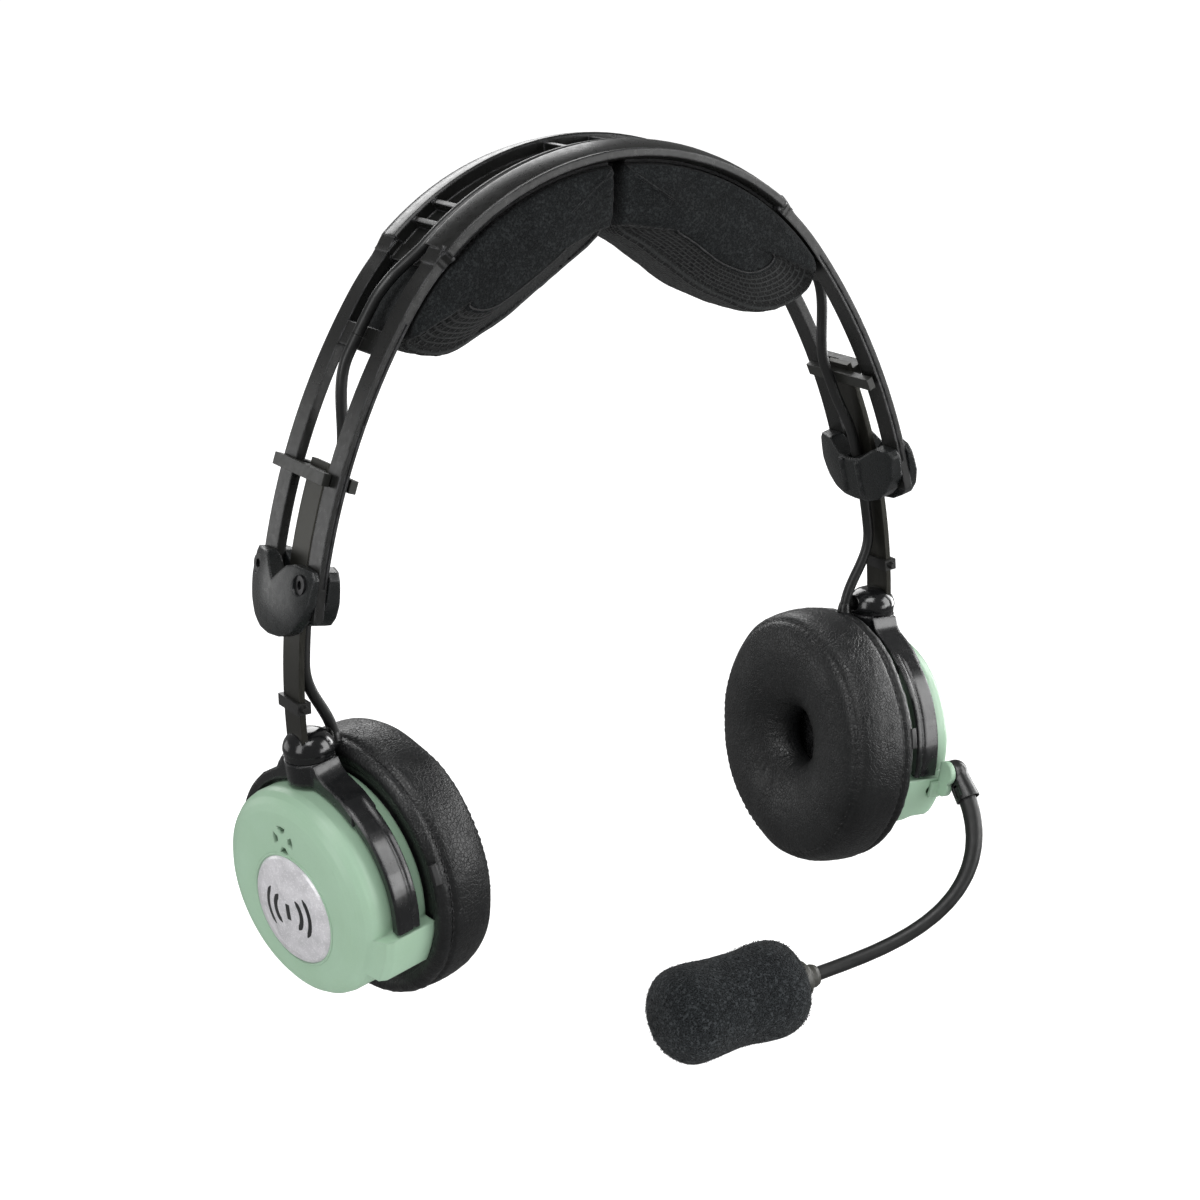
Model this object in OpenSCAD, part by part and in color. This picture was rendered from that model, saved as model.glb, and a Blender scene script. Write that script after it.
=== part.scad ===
// Aviation headset: two small on-ear cups on swivel yokes, a slotted spring headband,
// curved steel adjusting straps and a flexible boom microphone on the wearer's left cup.
// +X wearer's left, -Y the way the wearer faces, +Z up. Origin on the ear axis, midway between the cups.

/* [Headband] */
// Height of the band's top over the ear axis
apex_z = 168.6; // [140:1:185]
// Outer radius of the crown arc
crown_r = 72; // [60:1:90]
// Heading at which the crown arc gives way to the side arc, degrees from level
crown_a = 54; // [40:1:60]
// Outer radius of the side arc, which the straps slide along
side_r = 166; // [120:5:240]
// Thickness of the rails
rail_t = 3; // [2:0.5:4]
// Half width over the two rails
rail_w = 14.7; // [12:0.5:18]
// Half width of the slot between the rails
slot_w = 8.5; // [6:0.5:10]
// Half width of the crown trough
trough_w = 15.6; // [14:0.5:19]

/* [Adjusting straps] */
// Half width of a strap
strap_w = 4.3; // [3:0.1:5]
// Heading of the strap guide
guide_a = 68.5; // [64:0.5:72]
// Heading of the clamp
clamp_a = 78.5; // [76:0.5:80]

/* [Cups] */
// Lean of the wearer's right yoke, top outward, degrees
lean_right = 4.5; // [0:0.5:12]
// Lean of the wearer's left yoke, top outward, degrees
lean_left = 6.5; // [-4:0.5:12]
// Turn of the wearer's right cup toward the front, degrees
toe_right = 12; // [0:1:16]
// Turn of the wearer's left cup toward the front, degrees
toe_left = 2; // [0:1:16]
// Radius of the dome
dome_r = 26.8; // [22:0.2:30]
// Largest radius of the ear cushion
cushion_r = 34.4; // [30:0.2:38]
// Height of the swivel joint over the cup's centre
swivel_h = 33; // [30:0.5:38]
// Drop of the tilt pins under the cup's centre
pin_drop = 1; // [0:0.5:6]

/* [Boom] */
// Radius of the boom tube
boom_r = 2; // [1.5:0.1:3]
// Radius of the foam windscreen
wind_r = 13; // [10:0.5:16]
// Length of the foam windscreen
wind_l = 42; // [34:1:50]

/* [Hidden] */
$fn = 96;
black = [0.06,0.06,0.065];
gloss = [0.03,0.03,0.035];
steel = [0.16,0.16,0.15];
green = [0.60,0.72,0.62];
silver = [0.78,0.78,0.80];
foam_c = [0.09,0.09,0.10];
c1 = [0, apex_z-crown_r];
c2 = c1 + (crown_r-side_r)*[sin(crown_a), cos(crown_a)];
ball = [84.6, 0, 32.8];
arm_t = 4.5;
yoke_ri = dome_r+1;
yoke_ro = yoke_ri+2.4;
bridge_a0 = 56.0;
bridge_a1 = 58.0;
cab_r = 1.4;

// ---------- frames ----------
// the wearer's left half is drawn, the right half is its mirror image
module side(s) { if (s > 0) children(); else mirror([1,0,0]) children(); }
function lean(s) = s > 0 ? lean_left : lean_right;
function toe(s) = s > 0 ? toe_left : toe_right;
function ry(v,a) = [v[0]*cos(a)+v[2]*sin(a), v[1], -v[0]*sin(a)+v[2]*cos(a)];
function rz(v,a) = [v[0]*cos(a)-v[1]*sin(a), v[0]*sin(a)+v[1]*cos(a), v[2]];
function yoke_pt(s,v) = ball + rz(ry(v,lean(s)),-toe(s));
function cup_pt(s,v) = yoke_pt(s, [v[0]-arm_t, v[1], v[2]-swivel_h]);
module in_yoke(s) { translate(ball) rotate([0,0,-toe(s)]) rotate([0,lean(s),0]) children(); }
// cup frame: x outward through the dome, z up, origin at the cup's centre
module in_cup(s) { in_yoke(s) translate([-arm_t,0,-swivel_h]) children(); }
// profile (radius, y) swept round an axis along Y at c, headings a0 to a1
module arc(c,a0,a1) { translate([c[0],0,c[1]]) rotate([90,0,0]) rotate([0,0,90-a1]) rotate_extrude(angle=a1-a0, $fn=180) children(); }
module band_arc(a0,a1,lo,hi,y0,y1) {
  if (a0 < crown_a) arc(c1,a0,min(a1,crown_a)) translate([crown_r+lo,-y1]) square([hi-lo,y1-y0]);
  if (a1 > crown_a) arc(c2,max(a0,crown_a),a1) translate([side_r+lo,-y1]) square([hi-lo,y1-y0]);
}
function band_pt(a,h,y) = let(b=abs(a), sg=a<0?-1:1)
  b <= crown_a ? [sg*(c1[0]+(crown_r+h)*sin(b)), y, c1[1]+(crown_r+h)*cos(b)]
               : [sg*(c2[0]+(side_r+h)*sin(b)), y, c2[1]+(side_r+h)*cos(b)];
module at_band(a) { translate(band_pt(a,0,0)) rotate([0,a,0]) children(); }
// profile (radius, height) turned round the cup axis
module turn() { rotate([0,90,0]) rotate_extrude() children(); }

// ---------- sweep of a round section along points ----------
function unit(v) = v/norm(v);
function tang(p,i) = unit(p[min(i+1,len(p)-1)]-p[max(i-1,0)]);
function carry(p,i,u) = i >= len(p) ? [] : let(t=tang(p,i), w=unit(u-(u*t)*t)) concat([w], carry(p,i+1,w));
module sweep(p,r,n=14) {
  u = carry(p,0,abs(tang(p,0)[1])<0.9?[0,1,0]:[1,0,0]);
  rr = is_list(r) ? r : [for (i=[0:len(p)-1]) r];
  pts = [for (i=[0:len(p)-1]) let(t=tang(p,i), a=u[i], b=cross(t,a)) for (k=[0:n-1]) p[i]+rr[i]*(cos(360*k/n)*a+sin(360*k/n)*b)];
  m = len(p);
  polyhedron(pts, concat([[for (k=[0:n-1]) k]], [for (i=[0:m-2]) for (k=[0:n-1]) let(a=i*n+k,b=i*n+(k+1)%n) each [[a,a+n,b],[b,a+n,b+n]]],
    [[for (k=[n-1:-1:0]) (m-1)*n+k]]), convexity=6);
}
function bez(a,b,c,d,t) = pow(1-t,3)*a+3*t*pow(1-t,2)*b+3*t*t*(1-t)*c+pow(t,3)*d;
function sm(x) = let(q=max(0,min(1,x))) q*q*(3-2*q);
function crom(p,i,t) = let(n=len(p)-1, a=p[max(i-1,0)], b=p[i], c=p[min(i+1,n)], d=p[min(i+2,n)])
  0.5*((2*b)+(c-a)*t+(2*a-5*b+4*c-d)*t*t+(3*b-a-3*c+d)*t*t*t);
function smooth(p,k) = concat([for (i=[0:len(p)-2]) for (j=[0:k-1]) crom(p,i,j/k)], [p[len(p)-1]]);

// ---------- headband ----------
// section of the crown (radius, y): a groove between two domed shoulders, each with a lip along its outer foot
function crown_side(g) = let(w=trough_w, o=crown_r, h=[[-2.2,w-1.0],[-1.7,w+0.1],[-1.45,w+0.6],[-1.2,w+0.8],[0.35,w+0.8],[0.55,w+0.6],[0.6,w+0.1],[0.5,w-0.1],[0.7,w-0.6],
  [1.3,w-2.4],[1.75,w-4.6],[2.0,w-6.8],[2.0,w-7.8],[1.6,w-8.4],[-1.2,w-8.5]]) [for (i=[0:14]) let(p=h[g > 0 ? i : 14-i]) [o+p[0],g*p[1]]];
module crown_section() polygon(concat(crown_side(1), crown_side(-1)));
// side view of a rail, both arcs in one outline, its first degrees ramped up to the crown's shoulders
rail_n = 32;
rail_d = 2.4;
function rail_a(i) = 40.2+(79.8-40.2)*i/rail_n;
function rail_h(a) = 1.25*(1-sm((a-40.2)/5.2));
module rail_outline() polygon(concat([for (i=[0:rail_n]) let(b=band_pt(rail_a(i),rail_h(rail_a(i)),0)) [b[0],b[2]]],
  [for (i=[rail_n:-1:0]) let(b=band_pt(rail_a(i),-rail_d,0)) [b[0],b[2]]]));
module headband_frame() color(black) difference() {
  union() {
    arc(c1,-41,41) crown_section();
    for (s=[1,-1]) side(s) {
      band_arc(40.5,44.5,-2.2,-1.2,-slot_w-0.6,slot_w+0.6);
      for (q=[0,1]) mirror([0,q,0]) {
        // rails, the first degrees as wide as the crown
        band_arc(40.5,44,-rail_d-0.1,0.45,slot_w-0.7,trough_w-0.02);
        rotate([90,0,0]) translate([0,0,-rail_w]) linear_extrude(rail_w-slot_w) rail_outline();
      }
      band_arc(bridge_a0,bridge_a1,-rail_d+0.2,-0.2,-slot_w-1,slot_w+1);
      // cross ribs on the groove's floor, clear of the cable
      for (a=[5,31,36]) band_arc(a-0.5,a+0.5,-1.4,1.1,-3.1,trough_w-8);
    }
  }
  for (s=[1,-1]) side(s) {
    // waist where the wide crown runs into the rails
    for (q=[0,1]) mirror([0,q,0]) at_band(42) translate([0,0,-8]) linear_extrude(14)
      polygon([[-1.6,trough_w+3],[-1.6,trough_w+0.9],[-0.9,trough_w-0.1],[0.2,trough_w-0.7],[1.3,rail_w+0.15],[1.9,rail_w+0.05],[4,rail_w+0.05],[4,trough_w+3]]);
    // screw holes at the rail ends
    at_band(clamp_a) for (y=[-11.2,11.2]) translate([-4.5,y,-8]) cylinder(h=12,r=1.3,$fn=32);
    // shallow index groove along each rail's outer side
    for (q=[0,1]) mirror([0,q,0]) band_arc(crown_a+0.8,77,-1.9,-1.3,rail_w-0.35,rail_w+1);
  }
}
module clamp_shape(notch) {
  h = notch ? [[-3.2,0],[-7.8,5.2],[-8.5,7.6],[-8.2,14.3],[-6.6,15.5],[-1,15.2],[4,12.6],[7.4,9.2],[9.2,5.2],[9.7,0]]
            : [[-4.6,0],[-5.2,4.0],[-8.3,9.0],[-8.2,14.3],[-6.6,15.5],[-1,15.0],[3,12.4],[5.6,9.2],[6.8,5.2],[7.0,0]];
  polygon(concat([for (p=h) p],[for (i=[len(h)-2:-1:1]) [h[i][0],-h[i][1]]]));
}
module clamp_outer(s) side(s) at_band(clamp_a) color(black) difference() {
  intersection() {
    translate([0,0,0.12]) linear_extrude(6) clamp_shape(true);
    translate([1,0,-40.2]) sphere(r=45,$fn=120);
  }
  for (y=[-11.2,11.2]) translate([-4.5,y,0]) { cylinder(h=9,r=1.3,$fn=32); translate([0,0,1.6]) cylinder(h=9,r=2.4,$fn=48); }
}
module clamp_inner(s) side(s) at_band(clamp_a) color(black) difference() {
  union() {
    intersection() {
      translate([0,0,-8.4]) linear_extrude(8.4-rail_d-0.32) clamp_shape(false);
      translate([1,0,36.4]) sphere(r=45,$fn=120);
    }
    for (y=[-3.4,3.4]) translate([-4.3,y-0.55,-8.9]) cube([9.6,1.1,2.5]);
  }
  // way through for the strap and, under it, the lead
  translate([-15,-4.65,-rail_t-0.6]) cube([40,9.3,9]);
  translate([-15,-1.8,-7.15]) cube([40,3.6,9]);
  for (y=[-11.2,11.2]) translate([-4.5,y,-6.1]) cylinder(h=9,r=1.22,$fn=32);
}
module clamp_screws(s) side(s) at_band(clamp_a) color(gloss) for (y=[-11.2,11.2]) translate([-4.5,y,0]) difference() {
  union() { translate([0,0,-5.9]) cylinder(h=7.6,r=1.2,$fn=32); translate([0,0,1.62]) cylinder(h=1.3,r=2.3,$fn=48); }
  translate([0,0,2.1]) cylinder(h=2,r=1.15,$fn=6);
}
// pad under each half of the crown: its top follows the band and its sole is straight
pad_end = 55;
pad_h = -2.95;
module head_pad(s) side(s) color(foam_c) rotate([90,0,0]) translate([0,0,-15.8]) linear_extrude(31.6)
  polygon(concat([for (i=[0:14]) let(a=0.6+(pad_end-0.6)*i/14, b=band_pt(a,pad_h,0)) [b[0],b[2]]],
    [for (q=[[57.7,-37.4],[55.8,-40.2],[52,-41.6],[46.7,-42.5],[41,-41.8],[35,-38.8],[20,-31.2],[8,-24.6],[0.55,-20.8]]) [q[0],q[1]+apex_z]]));
module hook_strip(s) side(s) color(black) for (y=[[-14.2,-9.2],[-7,7],[9.2,14.2]]) band_arc(2,40,-2.9,-2.22,y[0],y[1]);

// ---------- the cable that joins the cups ----------
function cab_h(a) = a < 46 ? 0.4 : a < 58.6 ? 0.4+1.05*sm((a-46)/8) : a < 67.4 ? 1.45-8.35*sm((a-58.6)/8.6) : a < 69.6 ? -6.9 : -6.9+1.6*sm((a-69.6)/5.4);
function cab_yy(a) = a < 40 ? -5 : a < 57 ? -5+3.5*sm((a-40)/9) : -1.5+1.5*sm((a-57)/9);
cab_join = 57;
module cross_cable() color(black) sweep([for (i=[0:72]) let(a=-cab_join+2*cab_join*i/72) band_pt(a,cab_h(abs(a)),cab_yy(abs(a)))], cab_r);
lead_end = [-4.0,0.8,34.0];
module cable_lead(s) side(s) color(black) let(e=cup_pt(s,lead_end), b=band_pt(84.5,-5.3,0), d=unit(cup_pt(s,lead_end)-cup_pt(s,lead_end+[0,0,-1])))
  sweep(concat([for (i=[0:33]) let(a=cab_join+0.06+(84.5-cab_join-0.06)*i/33) band_pt(a,cab_h(a),cab_yy(a))],
    [for (i=[1:14]) bez(b, b+9*[cos(84.5),0,-sin(84.5)], e+9*d, e, i/14)]), cab_r);

// ---------- strap and what moves with it ----------
module side_arc(a0,a1,r0,r1,y0,y1) arc(c2,a0,a1) translate([r0,-y1]) square([r1-r0,y1-y0]);
s0 = side_r-3.3;
s1 = side_r-1.8;
strap_end = 90+asin((c2[1]-ball[2]-1.9)/s0);
module adjust_strap(s) side(s) color(steel) difference() {
  side_arc(guide_a-1.1,strap_end,s0,s1,-strap_w,strap_w);
  translate([c2[0],0,ball[2]+4]) rotate([0,90,0]) cylinder(h=300,r=1.42,$fn=32);
  arcpos(guide_a,0) cylinder(h=400,r=0.9,$fn=24,center=true);
}
module arcpos(a,y) translate([c2[0],y,c2[1]]) rotate([0,a,0]) children();
module guide_outer(s) side(s) color(black) {
  side_arc(guide_a-0.5,guide_a+0.5,side_r+0.3,side_r+2.2,-11,15.1);
  side_arc(guide_a-0.5,guide_a+0.5,s1+0.02,side_r+0.4,-strap_w+0.1,strap_w-0.1);
}
module guide_inner(s) side(s) color(black) side_arc(guide_a-0.55,guide_a+0.55,side_r-5.2,s0-0.02,-14.2,11.8);
module strap_clip(s) side(s) color(black) difference() {
  union() {
    side_arc(87.5,88.5,s0-1,s1+1,-strap_w-1,strap_w+1);
    arcpos(88,0) translate([0,-strap_w-0.7,side_r-2.5]) rotate([90,0,0]) cylinder(h=1.5,r1=1.1,r2=0.7,$fn=24);
  }
  side_arc(86,90,s0-0.02,s1+0.02,-strap_w-0.02,strap_w+0.02);
}
module swivel_boot(s) side(s) color(gloss) difference() {
  union() {
    translate([ball[0],0,ball[2]]) rotate_extrude() polygon([[0,1.6],[6.2,1.6],[6.4,2.4],[6.3,3.4],[5.9,4.5],[5.2,5.5],[4.1,6.4],[2.6,7.0],[0,7.2]]);
    in_yoke(s) { translate([0,0,0.5]) cylinder(h=2.4,r=6); translate([0,0,-3.05]) cylinder(h=4,r=4); }
  }
  side_arc(80,93,s0-0.03,s1+0.03,-strap_w-0.03,strap_w+0.03);
  translate([ball[0]-8,0,ball[2]+4]) rotate([0,90,0]) { cylinder(h=12.6,r=1.42,$fn=32); cylinder(h=2.6,r=2.2,$fn=40); }
  in_yoke(s) translate([0,0,-4]) cylinder(h=5,r=1.52,$fn=32);
}
module boot_rivet(s) side(s) color(silver) translate([0,0,ball[2]+4]) rotate([0,90,0]) {
  translate([0,0,ball[0]-5.6]) cylinder(h=10,r=1.4,$fn=32);
  translate([0,0,ball[0]-5.8]) cylinder(h=0.38,r=2.1,$fn=40);
}
module swivel_stud(s) side(s) in_yoke(s) color(silver) difference() {
  union() { translate([0,0,-4.7]) cylinder(h=1.55,r=4.7); translate([0,0,-4]) cylinder(h=4.9,r=1.5,$fn=32); }
  translate([0,0,-5]) cylinder(h=1.3,r=1.2,$fn=6);
}

// ---------- yoke ----------
pin_out = yoke_ro-0.9;
arm_a = asin((pin_drop+3.4)/((yoke_ri+yoke_ro)/2));
module yoke(s) side(s) in_yoke(s) color(gloss) difference() {
  union() {
    // two arms that hug the dome
    translate([0,0,-swivel_h]) rotate([0,90,0]) rotate([0,0,90-arm_a]) rotate_extrude(angle=180+2*arm_a,$fn=160)
      polygon([[yoke_ri,-3.3],[yoke_ri,3.3],[yoke_ro-0.5,3.5],[yoke_ro,3.0],[yoke_ro,-0.9],[yoke_ro-0.35,-1.3],[yoke_ro-0.35,-1.7],[yoke_ro,-2.1],[yoke_ro,-3.0],[yoke_ro-0.5,-3.5]]);
    // socket collar, flared down into the arms
    translate([0,0,-5.0]) cylinder(h=5.3,r=6.2);
    rotate([90,0,90]) translate([0,0,-3.75]) linear_extrude(7.5) polygon([[6.1,0.15],[7.2,-2.0],[9.0,-3.6],[12,-5.0],[15,-6.6],[18.3,-9.3],[18.3,-14],
      [-18.3,-14],[-18.3,-9.3],[-15,-6.6],[-12,-5.0],[-9.0,-3.6],[-7.2,-2.0],[-6.1,0.15]]);
  }
  translate([0,0,-swivel_h]) rotate([0,90,0]) cylinder(h=30,r=yoke_ri,center=true,$fn=160);
  translate([0,0,-3.3]) cylinder(h=10,r=4.06);
  translate([0,0,-9]) cylinder(h=6.01,r=4.95);
  for (q=[0,1]) mirror([0,q,0]) translate([0,20,-swivel_h-pin_drop]) rotate([-90,0,0]) cylinder(h=yoke_ro-20.7,r=1.52,$fn=40);
}
module pivot_pins(s) side(s) in_yoke(s) color(silver) for (q=[0,1]) mirror([0,q,0])
  translate([0,22.4,-swivel_h-pin_drop]) rotate([-90,0,0]) cylinder(h=pin_out-22.4,r=1.5,$fn=40);

// ---------- cup ----------
bev = [[dome_r,11.2],[dome_r-0.35,12.8],[dome_r-1.3,14.2],[dome_r-2.7,15.2],[dome_r-4.6,15.8],[dome_r-7,16]];
module dome(s) side(s) in_cup(s) color(green) difference() {
  union() {
    turn() polygon(concat([[0,16]],[[0,14.2],[dome_r-3.2,14.2],[dome_r-1.8,12.4],[dome_r-1.8,-3.2],[dome_r,-3.2]],bev));
    // a lug under the end of each yoke arm, as thick as the arms stand proud
    for (q=[54.5,-79.5]) rotate([0,90,0]) rotate([0,0,q]) rotate_extrude(angle=25,$fn=160) polygon([[dome_r-1,-3.2],[yoke_ro,-3.2],[yoke_ro,9.4],[yoke_ro-0.8,11.4],[dome_r-1,13.2]]);
    // bosses for the tilt pins
    for (q=[0,1]) mirror([0,q,0]) translate([arm_t,20.6,-pin_drop]) rotate([-90,0,0]) cylinder(h=5,r=2.8,$fn=48);
    // pillars for the base plate screws
    for (a=[60,180,300]) rotate([a,0,0]) translate([-3.2,0,20.8]) rotate([0,90,0]) cylinder(h=18,r=2.2,$fn=40);
  }
  for (q=[0,1]) mirror([0,q,0]) translate([arm_t,21.8,-pin_drop]) rotate([-90,0,0]) cylinder(h=9,r=1.56,$fn=40);
  for (a=[60,180,300]) rotate([a,0,0]) translate([-4,0,20.8]) rotate([0,90,0]) cylinder(h=12,r=1.02,$fn=32);
  // seat for the badge
  translate([15.2,0,-3.2]) rotate([0,90,0]) cylinder(h=3,r=14.2);
  // four wedge vents round a small boss
  for (k=[0:3]) translate([12,0,15.4]) rotate([90*k,0,0]) rotate([0,90,0]) linear_extrude(8) polygon([[1.9,-0.6],[3.4,-1.6],[3.7,0],[3.4,1.6],[1.9,0.6]]);
  if (s > 0) {
    // way in for the boom's wires and for the cord
    translate([7,-yoke_ro-1,-9]) rotate([-90,0,0]) cylinder(h=9,r=1.1,$fn=24);
    rotate([22,0,0]) translate([4,0,-yoke_ro-2]) cylinder(h=9,r=3.05,$fn=48);
  }
}
module badge(s) side(s) in_cup(s) color(silver) translate([0,0,-3.2]) turn()
  polygon([[0,15.22],[14.1,15.22],[14.1,15.9],[13.4,16.5],[11.5,17.0],[7,17.5],[0,17.7]]);
module base_plate(s) side(s) in_cup(s) color(black) difference() {
  union() {
    turn() polygon([[0,-5],[32.6,-5],[33,-4.6],[33,-3.9],[32.4,-3.32],[29.6,-3.32],[29.2,-3.9],[25.9,-3.9],[25.9,-3.22],[23.9,-3.22],[23.9,-1.6],[22.6,-1.6],[22.6,-3.4],[0,-3.4]]);
    // spout that the lead goes into
    intersection() { translate([lead_end[0],lead_end[1],30]) cylinder(h=3.7,r=2.2,$fn=40); translate([-4.85,-6,25]) cube([9,12,12]); }
    // finger tab at the front
    rotate([0,90,0]) rotate([0,0,-108]) rotate_extrude(angle=9,$fn=96) polygon([[31.5,-4.4],[33.9,-4.4],[34.2,-3.6],[33.9,-2.2],[33.2,-1.9],[31.5,-3.5]]);
  }
  translate([lead_end[0],lead_end[1],26]) cylinder(h=12,r=1.0,$fn=32);
  for (a=[60,180,300]) rotate([a,0,0]) translate([-7,0,20.8]) rotate([0,90,0]) { cylinder(h=9,r=1.05,$fn=32); cylinder(h=2.6,r=1.9,$fn=32); translate([0,0,3.5]) cylinder(h=9,r=2.25,$fn=40); }
  for (r=[0,1,2]) for (k=[0:max(0,6*r-1)]) rotate([k*60/max(r,1),0,0]) translate([-8,0,4.2*r]) rotate([0,90,0]) cylinder(h=9,r=1.2,$fn=24);
}
module driver(s) side(s) in_cup(s) color(steel) translate([-3.35,0,0]) turn()
  polygon([[0,1.2],[4,2.2],[14,0.1],[17.6,0],[17.6,3.2],[15,4.6],[9,5.4],[9,8.6],[0,8.6]]);
module damping_foam(s) side(s) in_cup(s) color(foam_c) translate([5.6,0,0]) turn() polygon([[0,0],[17.8,0],[17.8,6],[0,6]]);
module cushion_ring(s) side(s) in_cup(s) color(black) turn() polygon([[23.5,-6.4],[30.8,-6.4],[30.8,-5.05],[23.5,-5.05]]);
module ear_foam(s) side(s) in_cup(s) color(foam_c) turn() polygon([[0,-7.4],[16,-7.4],[16,-5.1],[0,-5.1]]);
module cushion(s) side(s) in_cup(s) color(black) turn()
  polygon([[22,-7.6],[31,-6.6],[31.8,-5.3],[33.3,-5.6],[34.2,-8],[34.4,-11],[34.2,-15],[33.2,-18.4],[31.4,-20.4],[28,-21.7],[23,-22.2],[17,-21.6],[12,-19.9],[8.6,-17.3],[7,-14.4],[7.3,-11.4],[9.5,-9],[14,-7.9]]);

// ---------- boom ----------
boom_at = [12.8,-31.8,-3.6];
mic_dir = unit([-1,0.08,-0.02]);
mic_base = [34,-38,-46.3];
boom_out = unit([-0.03,-0.68,-0.73]);
boom_root = cup_pt(1,boom_at);
// the tube leaves the collar forward and down, then turns in toward the mouth
boom_ctl = [boom_root+4.4*boom_out, boom_root+15*boom_out, [85.3,-49.3,-29], [73.2,-47.4,-40.8], [53.8,-39.3,-44.9], mic_base];
function lerp(p,t) = len(p) == 1 ? p[0] : lerp([for (i=[0:len(p)-2]) (1-t)*p[i]+t*p[i+1]], t);
boom_pts = [for (i=[0:52]) lerp(boom_ctl,i/52)];
module along(p,d) translate(p) rotate([0,acos(d[2]),atan2(d[1],d[0])]) children();
module boom_bracket() in_cup(1) color(black) difference() {
  union() {
    translate([8.9,boom_at[1],boom_at[2]]) rotate([0,90,0]) cylinder(h=1.5,r=3.2,$fn=48);
    translate([8.9,boom_at[1]+0.6,boom_at[2]-4]) rotate([0,90,0]) cylinder(h=1.5,r=2.6,$fn=48);
    rotate([0,90,0]) rotate([0,0,-78]) rotate_extrude(angle=9,$fn=160) polygon([[yoke_ro-0.4,6.5],[yoke_ro+1.0,6.5],[yoke_ro+1.0,10.1],[yoke_ro-0.4,10.1]]);
  }
  rotate([0,90,0]) cylinder(h=30,r=yoke_ro+0.02,center=true,$fn=160);
  translate([9.3,boom_at[1],boom_at[2]]) rotate([0,90,0]) cylinder(h=20,r=1.32,$fn=40);
}
module boom_pin() in_cup(1) color(silver) translate([9.35,boom_at[1],boom_at[2]]) rotate([0,90,0]) cylinder(h=5.0,r=1.3,$fn=40);
module boom_collar() color(black) difference() {
  union() {
    in_cup(1) translate([10.7,boom_at[1],boom_at[2]]) rotate([0,90,0]) cylinder(h=2.6,r=3.15,$fn=48);
    intersection() {
      translate(boom_root) sphere(r=3.25,$fn=64);
      in_cup(1) translate([10.7,-45,-20]) cube([12,30,30]);
    }
    along(boom_root,boom_out) translate([0,0,0.6]) cylinder(h=7.6,r1=2.9,r2=3.3,$fn=48);
  }
  in_cup(1) translate([0,boom_at[1],boom_at[2]]) rotate([0,90,0]) cylinder(h=14.6,r=1.36,$fn=40);
  // relief that clears the bracket as the boom swings
  in_cup(1) translate([6,boom_at[1],boom_at[2]]) rotate([0,90,0]) cylinder(h=4.75,r=7.4,$fn=64);
  along(boom_root,boom_out) translate([0,0,3.8]) cylinder(h=5,r1=1.22*boom_r+0.02,r2=1.22*boom_r+0.5,$fn=40);
}
// the tube is thicker at its root than at the microphone
module boom_tube() color(black) sweep(boom_pts, [for (i=[0:52]) boom_r*(1.22-0.3*sm(i/34))], 18);
module mic_housing() color(black) along(mic_base,mic_dir) difference() {
  rotate_extrude($fn=64) polygon([[1.9,-1.6],[2.7,-1.6],[3.1,-0.6],[3.1,0.6],[4.6,1.8],[4.9,3.2],[4.9,6.2],[4.4,7.0],[4.4,18],[3.6,19.5],[0,19.5],[0,18.2],[2.6,18.2],[3.4,17],[3.4,4],[0,4],[0,1.6],[1.9,1.6]]);
  for (k=[0:2]) rotate([0,0,60*k]) translate([-6,-0.8,10]) cube([12,1.6,5]);
}
module mic_capsule() color(silver) along(mic_base,mic_dir) translate([0,0,7.4]) rotate_extrude($fn=48) polygon([[0,0],[3.3,0],[3.3,5.4],[2.9,5.8],[0,5.8]]);
module windscreen() color(foam_c) along(mic_base,mic_dir) translate([0,0,4.6]) rotate_extrude($fn=64) union() {
  difference() {
    hull() { translate([wind_r-6.4,6.4]) circle(r=6.2,$fn=48); translate([wind_r-8.2,wind_l-8.6]) circle(r=8.2,$fn=48); translate([0,0.4]) square([2,wind_l-1.4]); }
    translate([-20,-20]) square([20,90]);
    translate([-1,-1]) square([5.95,16.4]);
  }
}
module cord_gland() in_cup(1) color(black) rotate([22,0,0]) difference() {
  union() { translate([4,0,-dome_r-6.4]) cylinder(h=6.35,r1=2.9,r2=3.4,$fn=48); translate([4,0,-dome_r-1]) cylinder(h=5.3,r=3,$fn=48); }
  translate([4,0,-dome_r-7]) cylinder(h=15,r=2,$fn=48);
}

headband_frame();
clamp_outer(1);  // clamp_outer_left
clamp_outer(-1);  // clamp_outer_right
clamp_inner(1);  // clamp_inner_left
clamp_inner(-1);  // clamp_inner_right
clamp_screws(1);  // clamp_screws_left
clamp_screws(-1);  // clamp_screws_right
head_pad(1);  // head_pad_left
head_pad(-1);  // head_pad_right
hook_strip(1);  // hook_strip_left
hook_strip(-1);  // hook_strip_right
cross_cable();
adjust_strap(1);  // adjust_strap_left
adjust_strap(-1);  // adjust_strap_right
guide_outer(1);  // guide_outer_left
guide_outer(-1);  // guide_outer_right
guide_inner(1);  // guide_inner_left
guide_inner(-1);  // guide_inner_right
strap_clip(1);  // strap_clip_left
strap_clip(-1);  // strap_clip_right
swivel_boot(1);  // swivel_boot_left
swivel_boot(-1);  // swivel_boot_right
boot_rivet(1);  // boot_rivet_left
boot_rivet(-1);  // boot_rivet_right
swivel_stud(1);  // swivel_stud_left
swivel_stud(-1);  // swivel_stud_right
cable_lead(1);  // cable_lead_left
cable_lead(-1);  // cable_lead_right
yoke(1);  // yoke_left
yoke(-1);  // yoke_right
pivot_pins(1);  // pivot_pins_left
pivot_pins(-1);  // pivot_pins_right
dome(1);  // dome_left
dome(-1);  // dome_right
badge(1);  // badge_left
badge(-1);  // badge_right
base_plate(1);  // base_plate_left
base_plate(-1);  // base_plate_right
driver(1);  // driver_left
driver(-1);  // driver_right
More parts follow.
